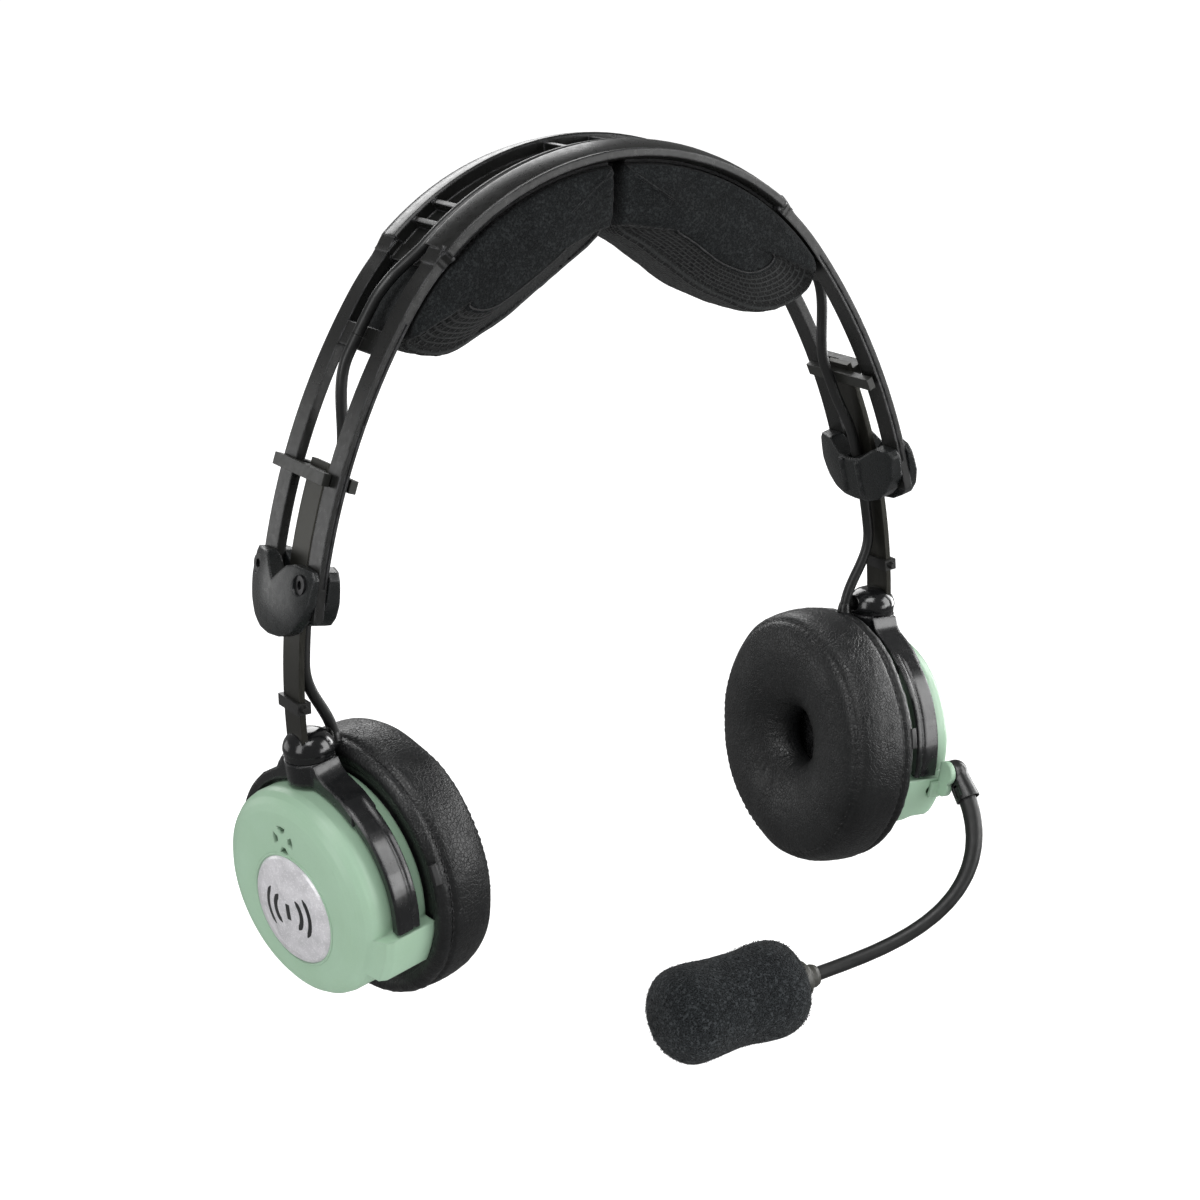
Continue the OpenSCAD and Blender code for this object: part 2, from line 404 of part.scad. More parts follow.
damping_foam(1);  // damping_foam_left
damping_foam(-1);  // damping_foam_right
cushion_ring(1);  // cushion_ring_left
cushion_ring(-1);  // cushion_ring_right
cushion(1);  // cushion_left
cushion(-1);  // cushion_right
ear_foam(1);  // ear_foam_left
ear_foam(-1);  // ear_foam_right
boom_bracket();
boom_pin();
boom_collar();
boom_tube();
mic_housing();
mic_capsule();
windscreen();
cord_gland();
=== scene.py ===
import bpy, bmesh, math, random
import numpy as np
from mathutils import Vector, Matrix, noise


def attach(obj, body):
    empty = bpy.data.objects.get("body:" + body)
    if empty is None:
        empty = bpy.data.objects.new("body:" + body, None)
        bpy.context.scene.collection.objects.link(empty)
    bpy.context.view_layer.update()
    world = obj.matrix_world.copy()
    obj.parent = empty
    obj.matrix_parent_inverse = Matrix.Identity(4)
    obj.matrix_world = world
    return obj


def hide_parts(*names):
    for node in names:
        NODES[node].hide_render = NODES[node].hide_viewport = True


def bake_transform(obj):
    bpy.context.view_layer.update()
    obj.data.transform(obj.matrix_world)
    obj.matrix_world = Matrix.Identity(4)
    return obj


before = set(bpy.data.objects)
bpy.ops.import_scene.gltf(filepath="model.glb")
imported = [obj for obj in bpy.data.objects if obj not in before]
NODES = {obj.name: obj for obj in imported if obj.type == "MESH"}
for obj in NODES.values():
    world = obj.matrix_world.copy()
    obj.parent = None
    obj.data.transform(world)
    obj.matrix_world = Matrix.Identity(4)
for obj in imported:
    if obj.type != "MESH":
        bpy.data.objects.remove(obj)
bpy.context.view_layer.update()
random.seed(7)
rad = math.radians
MM = 0.001

# ------------------------------------------------------------------ the part's frames, in mm
APEX, CR, CA, SR = 168.6, 72.0, 54.0, 166.0
PAD_H, CAB_R = -2.95, 1.4
RW, SW, TW = 14.7, 8.5, 15.6
BALL = np.array([84.6, 0.0, 32.8])
ARM_T, SWH, DOME_R = 4.5, 33.0, 26.8
C1 = np.array([0.0, APEX - CR])
C2 = C1 + (CR - SR) * np.array([math.sin(rad(CA)), math.cos(rad(CA))])
LEAN = {1: 6.5, -1: 4.5}
TOE = {1: 2.0, -1: 12.0}
SIDES = [("left", 1), ("right", -1)]


def sm(x):
    q = max(0.0, min(1.0, x))
    return q * q * (3 - 2 * q)


def cup_matrix(s):
    """cup frame in mm (x outward, z up, origin at the cup's centre) to the row frame in mm"""
    t = rad(-TOE[s]); l = rad(LEAN[s])
    rz = np.array([[math.cos(t), -math.sin(t), 0], [math.sin(t), math.cos(t), 0], [0, 0, 1]])
    ry = np.array([[math.cos(l), 0, math.sin(l)], [0, 1, 0], [-math.sin(l), 0, math.cos(l)]])
    m = np.eye(4)
    m[:3, :3] = rz @ ry
    m[:3, 3] = BALL + m[:3, :3] @ np.array([-ARM_T, 0, -SWH])
    return np.diag([s, 1, 1, 1]) @ m


CUP = {s: cup_matrix(s) for s in (1, -1)}


def to_row(p, s):
    p = np.asarray(p, float).reshape(-1, 3)
    return p @ CUP[s][:3, :3].T + CUP[s][:3, 3]


def cup_dir(v, s):
    return CUP[s][:3, :3] @ np.asarray(v, float)


def band_pt(a, h, y, s=1):
    b = abs(a)
    if b <= CA:
        return np.array([s * (C1[0] + (CR + h) * math.sin(rad(b))), y, C1[1] + (CR + h) * math.cos(rad(b))])
    return np.array([s * (C2[0] + (SR + h) * math.sin(rad(b))), y, C2[1] + (SR + h) * math.cos(rad(b))])


def unit(v):
    v = np.asarray(v, float)
    return v / np.linalg.norm(v)


# ------------------------------------------------------------------ material helpers
class Mat:
    def __init__(self, name):
        self.m = bpy.data.materials.new(name)
        self.m.use_nodes = True
        self.t = self.m.node_tree
        self.n = self.t.nodes
        self.l = self.t.links
        self.p = self.n["Principled BSDF"]
        self.co = self.n.new("ShaderNodeTexCoord").outputs["Object"]

    def node(self, kind, **kw):
        x = self.n.new(kind)
        for k, v in kw.items():
            if k.startswith("i_"):
                x.inputs[k[2:].replace("_", " ")].default_value = v
            else:
                setattr(x, k, v)
        return x

    def mapping(self, scale=(1, 1, 1), rot=(0, 0, 0), src=None):
        x = self.n.new("ShaderNodeMapping")
        x.inputs["Scale"].default_value = scale
        x.inputs["Rotation"].default_value = rot
        self.l.new(src or self.co, x.inputs["Vector"])
        return x.outputs[0]

    def noise(self, mm, detail=3.0, rough=0.55, vec=None, distort=0.0):
        x = self.n.new("ShaderNodeTexNoise")
        x.inputs["Scale"].default_value = 1000.0 / mm
        x.inputs["Detail"].default_value = detail
        x.inputs["Roughness"].default_value = rough
        x.inputs["Distortion"].default_value = distort
        self.l.new(vec or self.co, x.inputs["Vector"])
        return x.outputs["Fac"]

    def voronoi(self, mm, feature="F1", vec=None, out="Distance", rnd=1.0):
        x = self.n.new("ShaderNodeTexVoronoi")
        x.feature = feature
        x.inputs["Scale"].default_value = 1000.0 / mm
        x.inputs["Randomness"].default_value = rnd
        self.l.new(vec or self.co, x.inputs["Vector"])
        return x.outputs[out]

    def wave(self, mm, direction="X", vec=None, distortion=0.0, profile="SIN"):
        x = self.n.new("ShaderNodeTexWave")
        x.bands_direction = direction
        x.wave_profile = profile
        x.inputs["Scale"].default_value = 1000.0 / mm / 3.183
        x.inputs["Distortion"].default_value = distortion
        x.inputs["Detail"].default_value = 2.0
        self.l.new(vec or self.co, x.inputs["Vector"])
        return x.outputs["Fac"]

    def ramp(self, fac, stops):
        x = self.n.new("ShaderNodeValToRGB")
        e = x.color_ramp.elements
        while len(e) < len(stops):
            e.new(0.5)
        for k, (pos, col) in enumerate(stops):
            e[k].position = pos
            e[k].color = (*col, 1) if len(col) == 3 else col
        self.l.new(fac, x.inputs["Fac"])
        return x.outputs["Color"]

    def rng(self, fac, a, b, c, d):
        x = self.n.new("ShaderNodeMapRange")
        x.inputs["From Min"].default_value = a
        x.inputs["From Max"].default_value = b
        x.inputs["To Min"].default_value = c
        x.inputs["To Max"].default_value = d
        self.l.new(fac, x.inputs["Value"])
        return x.outputs[0]

    def math(self, op, a, b=None):
        x = self.n.new("ShaderNodeMath")
        x.operation = op
        for k, v in enumerate((a, b)):
            if v is None:
                continue
            if isinstance(v, (int, float)):
                x.inputs[k].default_value = v
            else:
                self.l.new(v, x.inputs[k])
        return x.outputs[0]

    def mix(self, fac, a, b, kind="MIX"):
        x = self.n.new("ShaderNodeMix")
        x.data_type = "RGBA"
        x.blend_type = kind
        if isinstance(fac, (int, float)):
            x.inputs[0].default_value = fac
        else:
            self.l.new(fac, x.inputs[0])
        for k, v in ((6, a), (7, b)):
            if isinstance(v, (tuple, list)):
                x.inputs[k].default_value = (*v, 1)
            else:
                self.l.new(v, x.inputs[k])
        return x.outputs[2]

    def bump(self, height, mm, strength=1.0, normal=None):
        x = self.n.new("ShaderNodeBump")
        x.inputs["Strength"].default_value = strength
        x.inputs["Distance"].default_value = mm * MM
        self.l.new(height, x.inputs["Height"])
        if normal is not None:
            self.l.new(normal, x.inputs["Normal"])
        return x.outputs[0]

    def bevel(self, mm, samples=4):
        x = self.n.new("ShaderNodeBevel")
        x.samples = samples
        x.inputs["Radius"].default_value = mm * MM
        return x.outputs[0]

    def edge(self, bev):
        """1 on worn edges, 0 elsewhere"""
        g = self.n.new("ShaderNodeNewGeometry")
        d = self.n.new("ShaderNodeVectorMath")
        d.operation = "DOT_PRODUCT"
        self.l.new(bev, d.inputs[0])
        self.l.new(g.outputs["Normal"], d.inputs[1])
        return self.rng(d.outputs["Value"], 0.985, 0.86, 0.0, 1.0)

    def color(self, v):
        if isinstance(v, (tuple, list)):
            self.p.inputs["Base Color"].default_value = (*v, 1)
        else:
            self.l.new(v, self.p.inputs["Base Color"])

    def rough(self, v):
        if isinstance(v, (int, float)):
            self.p.inputs["Roughness"].default_value = v
        else:
            self.l.new(v, self.p.inputs["Roughness"])

    def normal(self, v):
        self.l.new(v, self.p.inputs["Normal"])

    def set(self, **kw):
        for k, v in kw.items():
            self.p.inputs[k.replace("_", " ")].default_value = v
        return self


def plastic(name, col, rough, grain_mm=0.35, bump_mm=0.012, bev=0.35, wear=0.4, wear_col=None, coat=0.0, var=0.18, metal=0.0, spec=0.5):
    a = Mat(name)
    big = a.noise(9, 3)
    fine = a.noise(grain_mm, 2, 0.6)
    dark = tuple(c * (1 - var) for c in col)
    light = tuple(min(1, c * (1 + var)) for c in col)
    base = a.ramp(big, [(0.3, dark), (0.7, light)])
    b = a.bevel(bev)
    if wear:
        e = a.edge(b)
        e2 = a.math("MULTIPLY", e, a.rng(a.noise(2.2, 3), 0.35, 0.7, 0.0, wear))
        base = a.mix(e2, base, wear_col or tuple(min(1, c * 3 + 0.03) for c in col))
    a.color(base)
    a.rough(a.rng(a.noise(1.6, 4), 0.3, 0.7, rough - 0.05, rough + 0.07))
    a.normal(a.bump(fine, bump_mm, 0.6, b))
    a.set(Metallic=metal, Specular_IOR_Level=spec)
    if coat:
        a.set(Coat_Weight=coat, Coat_Roughness=0.08)
    return a.m


def leather(name):
    a = Mat(name)
    warp = a.noise(3.5, 2)
    mixv = a.n.new("ShaderNodeVectorMath"); mixv.operation = "ADD"
    sc = a.n.new("ShaderNodeVectorMath"); sc.operation = "SCALE"
    nz = a.n.new("ShaderNodeTexNoise"); nz.inputs["Scale"].default_value = 420.0; nz.inputs["Detail"].default_value = 2
    a.l.new(a.co, nz.inputs["Vector"])
    a.l.new(nz.outputs["Color"], sc.inputs[0]); sc.inputs["Scale"].default_value = 0.0011
    a.l.new(a.co, mixv.inputs[0]); a.l.new(sc.outputs[0], mixv.inputs[1])
    v = mixv.outputs[0]
    grain = a.voronoi(0.95, "DISTANCE_TO_EDGE", v)
    g1 = a.rng(grain, 0.0, 0.16, 0.0, 1.0)
    grain2 = a.voronoi(0.42, "F1", v)
    fine = a.noise(0.22, 2)
    h = a.math("ADD", a.math("MULTIPLY", g1, 0.62), a.math("MULTIPLY", grain2, 0.22))
    h = a.math("ADD", h, a.math("MULTIPLY", fine, 0.16))
    patch = a.rng(a.noise(7, 3), 0.35, 0.65, 0.35, 1.0)
    h = a.math("MULTIPLY", h, patch)
    big = a.noise(5.5, 4, 0.5, distort=0.6)
    col = a.ramp(a.noise(11, 3), [(0.3, (0.0062, 0.0067, 0.0070)), (0.72, (0.0110, 0.0116, 0.0119))])
    # painted shade: the colour is darkened towards near black along the grain's creases, where shade falls; the creases
    # are also made rougher
    crease = a.math("SUBTRACT", 1.0, g1)
    col = a.mix(a.math("MULTIPLY", crease, 0.55), col, (0.004, 0.004, 0.0042))
    a.color(col)
    a.rough(a.math("ADD", a.rng(a.noise(2.5, 3), 0.3, 0.7, 0.30, 0.42), a.math("MULTIPLY", crease, 0.16)))
    n1 = a.bump(big, 0.35, 0.5)
    a.normal(a.bump(h, 0.12, 1.0, n1))
    a.set(Specular_IOR_Level=0.42)
    return a.m


def velour(name):
    a = Mat(name)
    spk = a.noise(0.34, 2, 0.7)
    spk2 = a.voronoi(0.5, "F1", None, "Color")
    sep = a.n.new("ShaderNodeSeparateColor")
    a.l.new(spk2, sep.inputs[0])
    dots = a.math("GREATER_THAN", sep.outputs[0], 0.80)
    base = a.ramp(spk, [(0.36, (0.0030, 0.0036, 0.0040)), (0.56, (0.0105, 0.0122, 0.0130)), (0.74, (0.024, 0.027, 0.028))])
    base = a.mix(a.math("MULTIPLY", dots, 0.35), base, (0.038, 0.042, 0.043))
    patch = a.ramp(a.noise(8, 3), [(0.3, (0.60, 0.60, 0.60)), (0.7, (0.95, 0.95, 0.95))])
    a.color(a.mix(1.0, base, patch, "MULTIPLY"))
    a.rough(a.rng(spk, 0.3, 0.7, 0.88, 1.0))
    n1 = a.bump(a.noise(3.5, 3), 0.5, 0.5)
    a.normal(a.bump(a.math("ADD", spk, a.math("MULTIPLY", sep.outputs[1], 0.5)), 0.22, 1.0, n1))
    a.set(Specular_IOR_Level=0.1, Sheen_Weight=0.06, Sheen_Roughness=0.5)
    return a.m


def knit(name):
    """open spacer knit: staggered rounded holes in rows, from the sole's own lengthwise and crosswise coordinates"""
    a = Mat(name)
    uv = a.n.new("ShaderNodeUVMap").outputs[0]
    m = a.mapping((1, 1, 1), (0, 0, 0), uv)
    wob = a.noise(6, 2)
    br = a.n.new("ShaderNodeTexBrick")
    br.offset = 0.5
    br.inputs["Scale"].default_value = 1.0
    br.inputs["Brick Width"].default_value = 2.3
    br.inputs["Row Height"].default_value = 1.25
    br.inputs["Mortar Size"].default_value = 0.34
    br.inputs["Mortar Smooth"].default_value = 0.9
    br.inputs["Color1"].default_value = (0, 0, 0, 1)
    br.inputs["Color2"].default_value = (0.12, 0.12, 0.12, 1)
    br.inputs["Mortar"].default_value = (1, 1, 1, 1)
    a.l.new(m, br.inputs["Vector"])
    rib = br.outputs["Fac"]
    yarn = a.noise(0.3, 2, 0.6)
    # painted shade: the holes between the yarn ribs are coloured near black for the shade inside them; the ribs get the
    # lighter yarn colour
    col = a.mix(rib, (0.0030, 0.0032, 0.0034), (0.022, 0.0235, 0.0235))
    col = a.mix(a.math("MULTIPLY", a.rng(yarn, 0.45, 0.75, 0.0, 1.0), 0.6), col, (0.050, 0.052, 0.052))
    a.color(col)
    a.rough(a.rng(wob, 0.3, 0.7, 0.82, 0.95))
    a.normal(a.bump(a.math("ADD", rib, a.math("MULTIPLY", yarn, 0.35)), 0.5, 1.0))
    a.set(Specular_IOR_Level=0.2, Sheen_Weight=0.04)
    return a.m


def foam(name, dark=(0.004, 0.0045, 0.005), mid=(0.016, 0.0185, 0.020), light=(0.046, 0.051, 0.054), mm=0.37):
    a = Mat(name)
    n = a.noise(mm, 2, 0.75)
    cell = a.voronoi(mm * 1.25, "F1")
    col = a.ramp(n, [(0.38, dark), (0.52, mid), (0.72, light)])
    c2 = a.voronoi(mm * 1.6, "F1", None, "Color")
    sep = a.n.new("ShaderNodeSeparateColor"); a.l.new(c2, sep.inputs[0])
    col = a.mix(a.math("MULTIPLY", a.math("GREATER_THAN", sep.outputs[0], 0.88), 0.5), col, tuple(x * 1.25 for x in light))
    patch = a.ramp(a.noise(9, 3), [(0.3, (0.8, 0.8, 0.8)), (0.7, (1.1, 1.1, 1.1))])
    a.color(a.mix(1.0, col, patch, "MULTIPLY"))
    a.rough(a.rng(n, 0.3, 0.7, 0.9, 1.0))
    n1 = a.bump(a.noise(2.6, 3), 0.25, 0.5)
    a.normal(a.bump(a.math("ADD", cell, n), 0.3, 1.0, n1))
    a.set(Specular_IOR_Level=0.1, Sheen_Weight=0.05)
    return a.m


def metal(name, col, rough, brush=(1, 1, 1), bump_mm=0.004, var=0.15, met=1.0, bev=0.25):
    a = Mat(name)
    line = a.noise(0.6, 4, 0.6, a.mapping(brush))
    base = a.ramp(line, [(0.3, tuple(c * (1 - var) for c in col)), (0.7, tuple(min(1, c * (1 + var)) for c in col))])
    b = a.bevel(bev)
    e = a.math("MULTIPLY", a.edge(b), a.rng(a.noise(1.8, 3), 0.4, 0.7, 0.0, 0.5))
    a.color(a.mix(e, base, tuple(min(1, c * 2.2 + 0.03) for c in col)))
    a.rough(a.rng(line, 0.3, 0.7, rough - 0.06, rough + 0.08))
    a.normal(a.bump(line, bump_mm, 0.7, b))
    a.set(Metallic=met)
    return a.m


def rubber(name, col=(0.011, 0.0115, 0.0115), rough=0.46, lines=None):
    a = Mat(name)
    n = a.noise(0.5, 3)
    big = a.noise(7, 3)
    a.color(a.ramp(big, [(0.3, tuple(c * 0.8 for c in col)), (0.7, tuple(c * 1.35 for c in col))]))
    a.rough(a.rng(a.noise(2, 4), 0.3, 0.7, rough - 0.06, rough + 0.08))
    a.normal(a.bump(n, 0.02, 0.6, a.bump(big, 0.15, 0.25)))
    a.set(Specular_IOR_Level=0.5)
    return a.m


def badge_mat(name):
    a = Mat(name)
    spark = a.voronoi(0.32, "F1", None, "Color")
    sep = a.n.new("ShaderNodeSeparateColor"); a.l.new(spark, sep.inputs[0])
    soft = a.noise(9, 3, distort=1.2)
    col = a.ramp(soft, [(0.25, (0.42, 0.42, 0.435)), (0.5, (0.58, 0.57, 0.595)), (0.8, (0.70, 0.69, 0.715))])
    col = a.mix(a.math("MULTIPLY", a.math("GREATER_THAN", sep.outputs[0], 0.8), 0.25), col, (0.95, 0.94, 0.96))
    a.color(col)
    a.rough(a.rng(sep.outputs[1], 0, 1, 0.30, 0.42))
    a.normal(a.bump(sep.outputs[2], 0.01, 0.35))
    a.set(Metallic=0.2, Coat_Weight=1.0, Coat_Roughness=0.04, Coat_IOR=1.52)
    return a.m


def dome_mat(name):
    a = Mat(name)
    big = a.noise(14, 3)
    fine = a.noise(0.28, 2, 0.6)
    base = a.ramp(big, [(0.3, (0.272, 0.412, 0.290)), (0.7, (0.295, 0.440, 0.322))])
    base = a.mix(a.rng(fine, 0.5, 0.8, 0.0, 0.3), base, (0.34, 0.49, 0.375))
    b = a.bevel(0.9, 6)
    e = a.math("MULTIPLY", a.edge(b), a.rng(a.noise(1.5, 3), 0.3, 0.7, 0.05, 0.4))
    base = a.mix(e, base, (0.40, 0.54, 0.42))
    a.color(base)
    a.rough(a.rng(a.noise(1.2, 4), 0.3, 0.7, 0.36, 0.46))
    a.normal(a.bump(a.math("ADD", a.math("MULTIPLY", fine, 0.35), a.noise(2.8, 2)), 0.03, 0.55, b))
    a.set(Specular_IOR_Level=0.5, Coat_Weight=0.1, Coat_Roughness=0.25)
    return a.m


M = {
    "band": plastic("band_nylon", (0.0072, 0.0074, 0.0070), 0.30, 0.4, 0.02, 0.6, 0.6, (0.12, 0.12, 0.13), spec=0.40),
    "clamp": plastic("clamp_nylon", (0.0085, 0.0095, 0.0097), 0.27, 0.4, 0.02, 0.9, 0.5, (0.08, 0.08, 0.085), spec=0.5),
    "screw": plastic("screw_black_oxide", (0.020, 0.020, 0.021), 0.34, 0.3, 0.008, 0.2, 0.6, (0.16, 0.16, 0.16), metal=0.7),
    "guide": plastic("guide_olive", (0.016, 0.0165, 0.0145), 0.38, 0.35, 0.015, 0.3, 0.5),
    "strap": metal("strap_steel", (0.034, 0.0335, 0.0285), 0.36, (1, 6, 0.12), 0.006, 0.25, 0.75),
    "clip": rubber("clip_rubber", (0.008, 0.008, 0.0076), 0.40),
    "boot": plastic("boot_gloss", (0.0052, 0.0054, 0.0058), 0.17, 0.9, 0.012, 0.6, 0.4, (0.08, 0.08, 0.085), coat=0.35),
    "yoke": plastic("yoke_gloss", (0.0050, 0.0053, 0.0058), 0.22, 0.9, 0.014, 1.1, 0.4, (0.09, 0.09, 0.095), coat=0.35),
    "rivet": metal("rivet_steel", (0.055, 0.055, 0.054), 0.30, (1, 1, 1), 0.004, 0.2),
    "dome": dome_mat("dome_sage"),
    "badge": badge_mat("badge_silver_resin"),
    "base": plastic("base_black", (0.0070, 0.0072, 0.0074), 0.31, 0.5, 0.02, 0.4, 0.4),
    "driver": metal("driver_aluminium", (0.30, 0.30, 0.30), 0.35),
    "leather": leather("leatherette_black"),
    "velour": velour("velour_charcoal"),
    "knit": knit("knit_sole"),
    "foam": foam("windscreen_foam"),
    "inner": foam("ear_foam_black", (0.003, 0.003, 0.003), (0.010, 0.010, 0.011), (0.035, 0.035, 0.037), 0.6),
    "cable": rubber("cable_jacket", (0.0090, 0.0093, 0.0093), 0.38),
    "boom": rubber("boom_rubber", (0.0105, 0.0110, 0.0108), 0.47),
    "mic": plastic("mic_olive", (0.050, 0.049, 0.042), 0.42, 0.4, 0.02, 0.5, 0.5, (0.12, 0.12, 0.11)),
    "collar": plastic("collar_black", (0.0072, 0.0074, 0.0074), 0.30, 0.4, 0.015, 0.5, 0.4),
}


def thread_mat():
    a = Mat("stitch_thread")
    tw = a.wave(0.35, "DIAGONAL")
    # the twist is painted as light and shade: darker in the grooves between the plies, lighter on their crowns
    a.color(a.ramp(tw, [(0.2, (0.006, 0.006, 0.0065)), (0.8, (0.022, 0.022, 0.023))]))
    a.rough(a.rng(a.noise(0.4, 2), 0.3, 0.7, 0.5, 0.7))
    a.normal(a.bump(tw, 0.06, 0.8))
    return a.m


def hook_mat():
    a = Mat("hook_tape_fuzz")
    n = a.noise(0.35, 2, 0.8)
    a.color(a.ramp(n, [(0.4, (0.004, 0.004, 0.0045)), (0.75, (0.035, 0.036, 0.037))]))
    a.rough(a.rng(n, 0.3, 0.7, 0.75, 0.95))
    a.normal(a.bump(n, 0.35, 1.0))
    return a.m


def ink_mat(name, col):
    a = Mat(name)
    n = a.noise(0.5, 3)
    a.color(a.ramp(n, [(0.3, tuple(c * 0.85 for c in col)), (0.7, tuple(min(1, c * 1.1) for c in col))]))
    a.rough(a.rng(n, 0.3, 0.7, 0.28, 0.38))
    a.set(Coat_Weight=1.0, Coat_Roughness=0.04)
    return a.m


M["thread"] = thread_mat()
M["hook"] = hook_mat()
M["ink"] = ink_mat("mark_black", (0.006, 0.006, 0.007))

CAD_MAT = {
    "headband_frame": "band", "clamp_outer": "clamp", "clamp_inner": "clamp", "clamp_screws": "screw",
    "head_pad": "velour", "hook_strip": "hook", "cross_cable": "cable", "cable_lead": "cable", "adjust_strap": "strap",
    "guide_outer": "guide", "guide_inner": "guide", "strap_clip": "clip", "swivel_boot": "boot", "boot_rivet": "rivet",
    "swivel_stud": "rivet", "yoke": "yoke", "pivot_pins": "rivet", "dome": "dome", "badge": "badge", "base_plate": "base",
    "driver": "driver", "damping_foam": "inner", "cushion_ring": "base", "cushion": "leather", "ear_foam": "inner",
    "boom_bracket": "dome", "boom_pin": "rivet", "boom_collar": "collar", "boom_tube": "boom", "mic_housing": "mic",
    "mic_capsule": "driver", "windscreen": "foam", "cord_gland": "collar",
}


def base_name(n):
    for e in ("_left", "_right"):
        if n.endswith(e):
            return n[: -len(e)]
    return n


for name, ob in NODES.items():
    m = M[CAD_MAT[base_name(name)]]
    for sl in ob.material_slots:
        sl.material = m
    if base_name(name) in ("headband_frame", "yoke", "clamp_outer", "clamp_inner", "boom_collar", "swivel_boot"):
        w = ob.modifiers.new("weld", "WELD"); w.merge_threshold = 2e-6
        e = ob.modifiers.new("split", "EDGE_SPLIT"); e.split_angle = rad(28)
        n = ob.modifiers.new("normals", "WEIGHTED_NORMAL"); n.keep_sharp = False

# ------------------------------------------------------------------ mesh helpers (coordinates in mm, row frame)


def add_mesh(name, verts, faces, mats, body, face_mat=None, uvs=None, smooth=True, recalc=True):
    me = bpy.data.meshes.new(name)
    me.from_pydata([tuple(np.asarray(v, float) * MM) for v in verts], [], [tuple(f) for f in faces])
    for m in mats:
        me.materials.append(m)
    if face_mat is not None:
        me.polygons.foreach_set("material_index", np.asarray(face_mat, np.int32))
    if uvs is not None:
        lay = me.uv_layers.new(name="UVMap")
        for p in me.polygons:
            for li, vi in zip(p.loop_indices, p.vertices):
                lay.data[li].uv = uvs[vi]
    me.polygons.foreach_set("use_smooth", np.full(len(me.polygons), smooth))
    me.validate()
    if recalc:
        bm = bmesh.new(); bm.from_mesh(me)
        bmesh.ops.recalc_face_normals(bm, faces=bm.faces)
        bm.to_mesh(me); bm.free()
    me.update()
    o = bpy.data.objects.new(name, me)
    bpy.context.scene.collection.objects.link(o)
    if body:
        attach(o, body)
    return o


def resample(pts, n, closed=False):
    p = np.asarray(pts, float)
    if closed:
        p = np.vstack([p, p[:1]])
    d = np.r_[0, np.cumsum(np.linalg.norm(np.diff(p, axis=0), axis=1))]
    t = np.linspace(0, d[-1], n + 1 if closed else n)
    out = np.stack([np.interp(t, d, p[:, k]) for k in range(p.shape[1])], 1)
    return out[:-1] if closed else out


def smooth_curve(pts, n, closed=False, rounds=2):
    """Chaikin corner cutting, then even spacing"""
    p = [np.asarray(q, float) for q in pts]
    for _ in range(rounds):
        q = []
        m = len(p)
        rng_ = range(m if closed else m - 1)
        if not closed:
            q.append(p[0])
        for i in rng_:
            a, b = p[i], p[(i + 1) % m]
            q += [0.75 * a + 0.25 * b, 0.25 * a + 0.75 * b]
        if not closed:
            q.append(p[-1])
        p = q
    return resample(p, n, closed)


def tube_mesh(path, radius, n=20, cap=True):
    p = np.asarray(path, float)
    m = len(p)
    r = np.full(m, radius) if np.isscalar(radius) else np.asarray(radius, float)
    tan = np.gradient(p, axis=0)
    tan /= np.linalg.norm(tan, axis=1)[:, None]
    u = np.array([0, 1.0, 0]) if abs(tan[0][1]) < 0.9 else np.array([1.0, 0, 0])
    V, F = [], []
    for i in range(m):
        u = u - (u @ tan[i]) * tan[i]; u /= np.linalg.norm(u)
        w = np.cross(tan[i], u)
        for k in range(n):
            a = 2 * math.pi * k / n
            V.append(p[i] + r[i] * (math.cos(a) * u + math.sin(a) * w))
    for i in range(m - 1):
        for k in range(n):
            a, b = i * n + k, i * n + (k + 1) % n
            F.append((a, b, b + n, a + n))
    if cap:
        F.append(tuple(range(n))[::-1])
        F.append(tuple((m - 1) * n + k for k in range(n)))
    return V, F


def add_tube(name, path, radius, mat, body, n=20):
    V, F = tube_mesh(path, radius, n)
    o = add_mesh(name, V, F, [mat], None)
    for f in (len(F) - 1, len(F) - 2):
        o.data.polygons[f].use_smooth = False
    last = len(V) - n
    for ed in o.data.edges:
        i, j = ed.vertices
        if (i < n and j < n) or (i >= last and j >= last):
            ed.use_edge_sharp = True
    if body:
        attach(o, body)
    return o


# ------------------------------------------------------------------ ear cushions
CUSH = [(-3.55, 30.9), (-3.2, 31.4), (-3.22, 32.6), (-3.9, 33.15), (-4.9, 33.15), (-5.12, 32.4), (-5.15, 27), (-5.6, 23.4), (-6.45, 23.2), (-6.6, 31.3),
        (-7.3, 31.2), (-7.5, 22), (-7.7, 14), (-8.6, 9.6), (-11, 7.5), (-14.4, 7.1), (-17.3, 8.5), (-19.9, 12), (-21.6, 17), (-22.25, 23), (-21.75, 27.6),
        (-20.9, 30.2), (-20.25, 31.35), (-19.75, 31.45), (-19.3, 32.3), (-18.3, 33.35), (-15, 34.3), (-11, 34.55), (-8.2, 34.45), (-6.9, 34.25),
        (-6.35, 33.65), (-5.95, 33.6), (-5.5, 34.0), (-4.5, 34.05), (-3.4, 33.5), (-2.75, 32.5), (-2.62, 31.5), (-2.85, 30.9)]


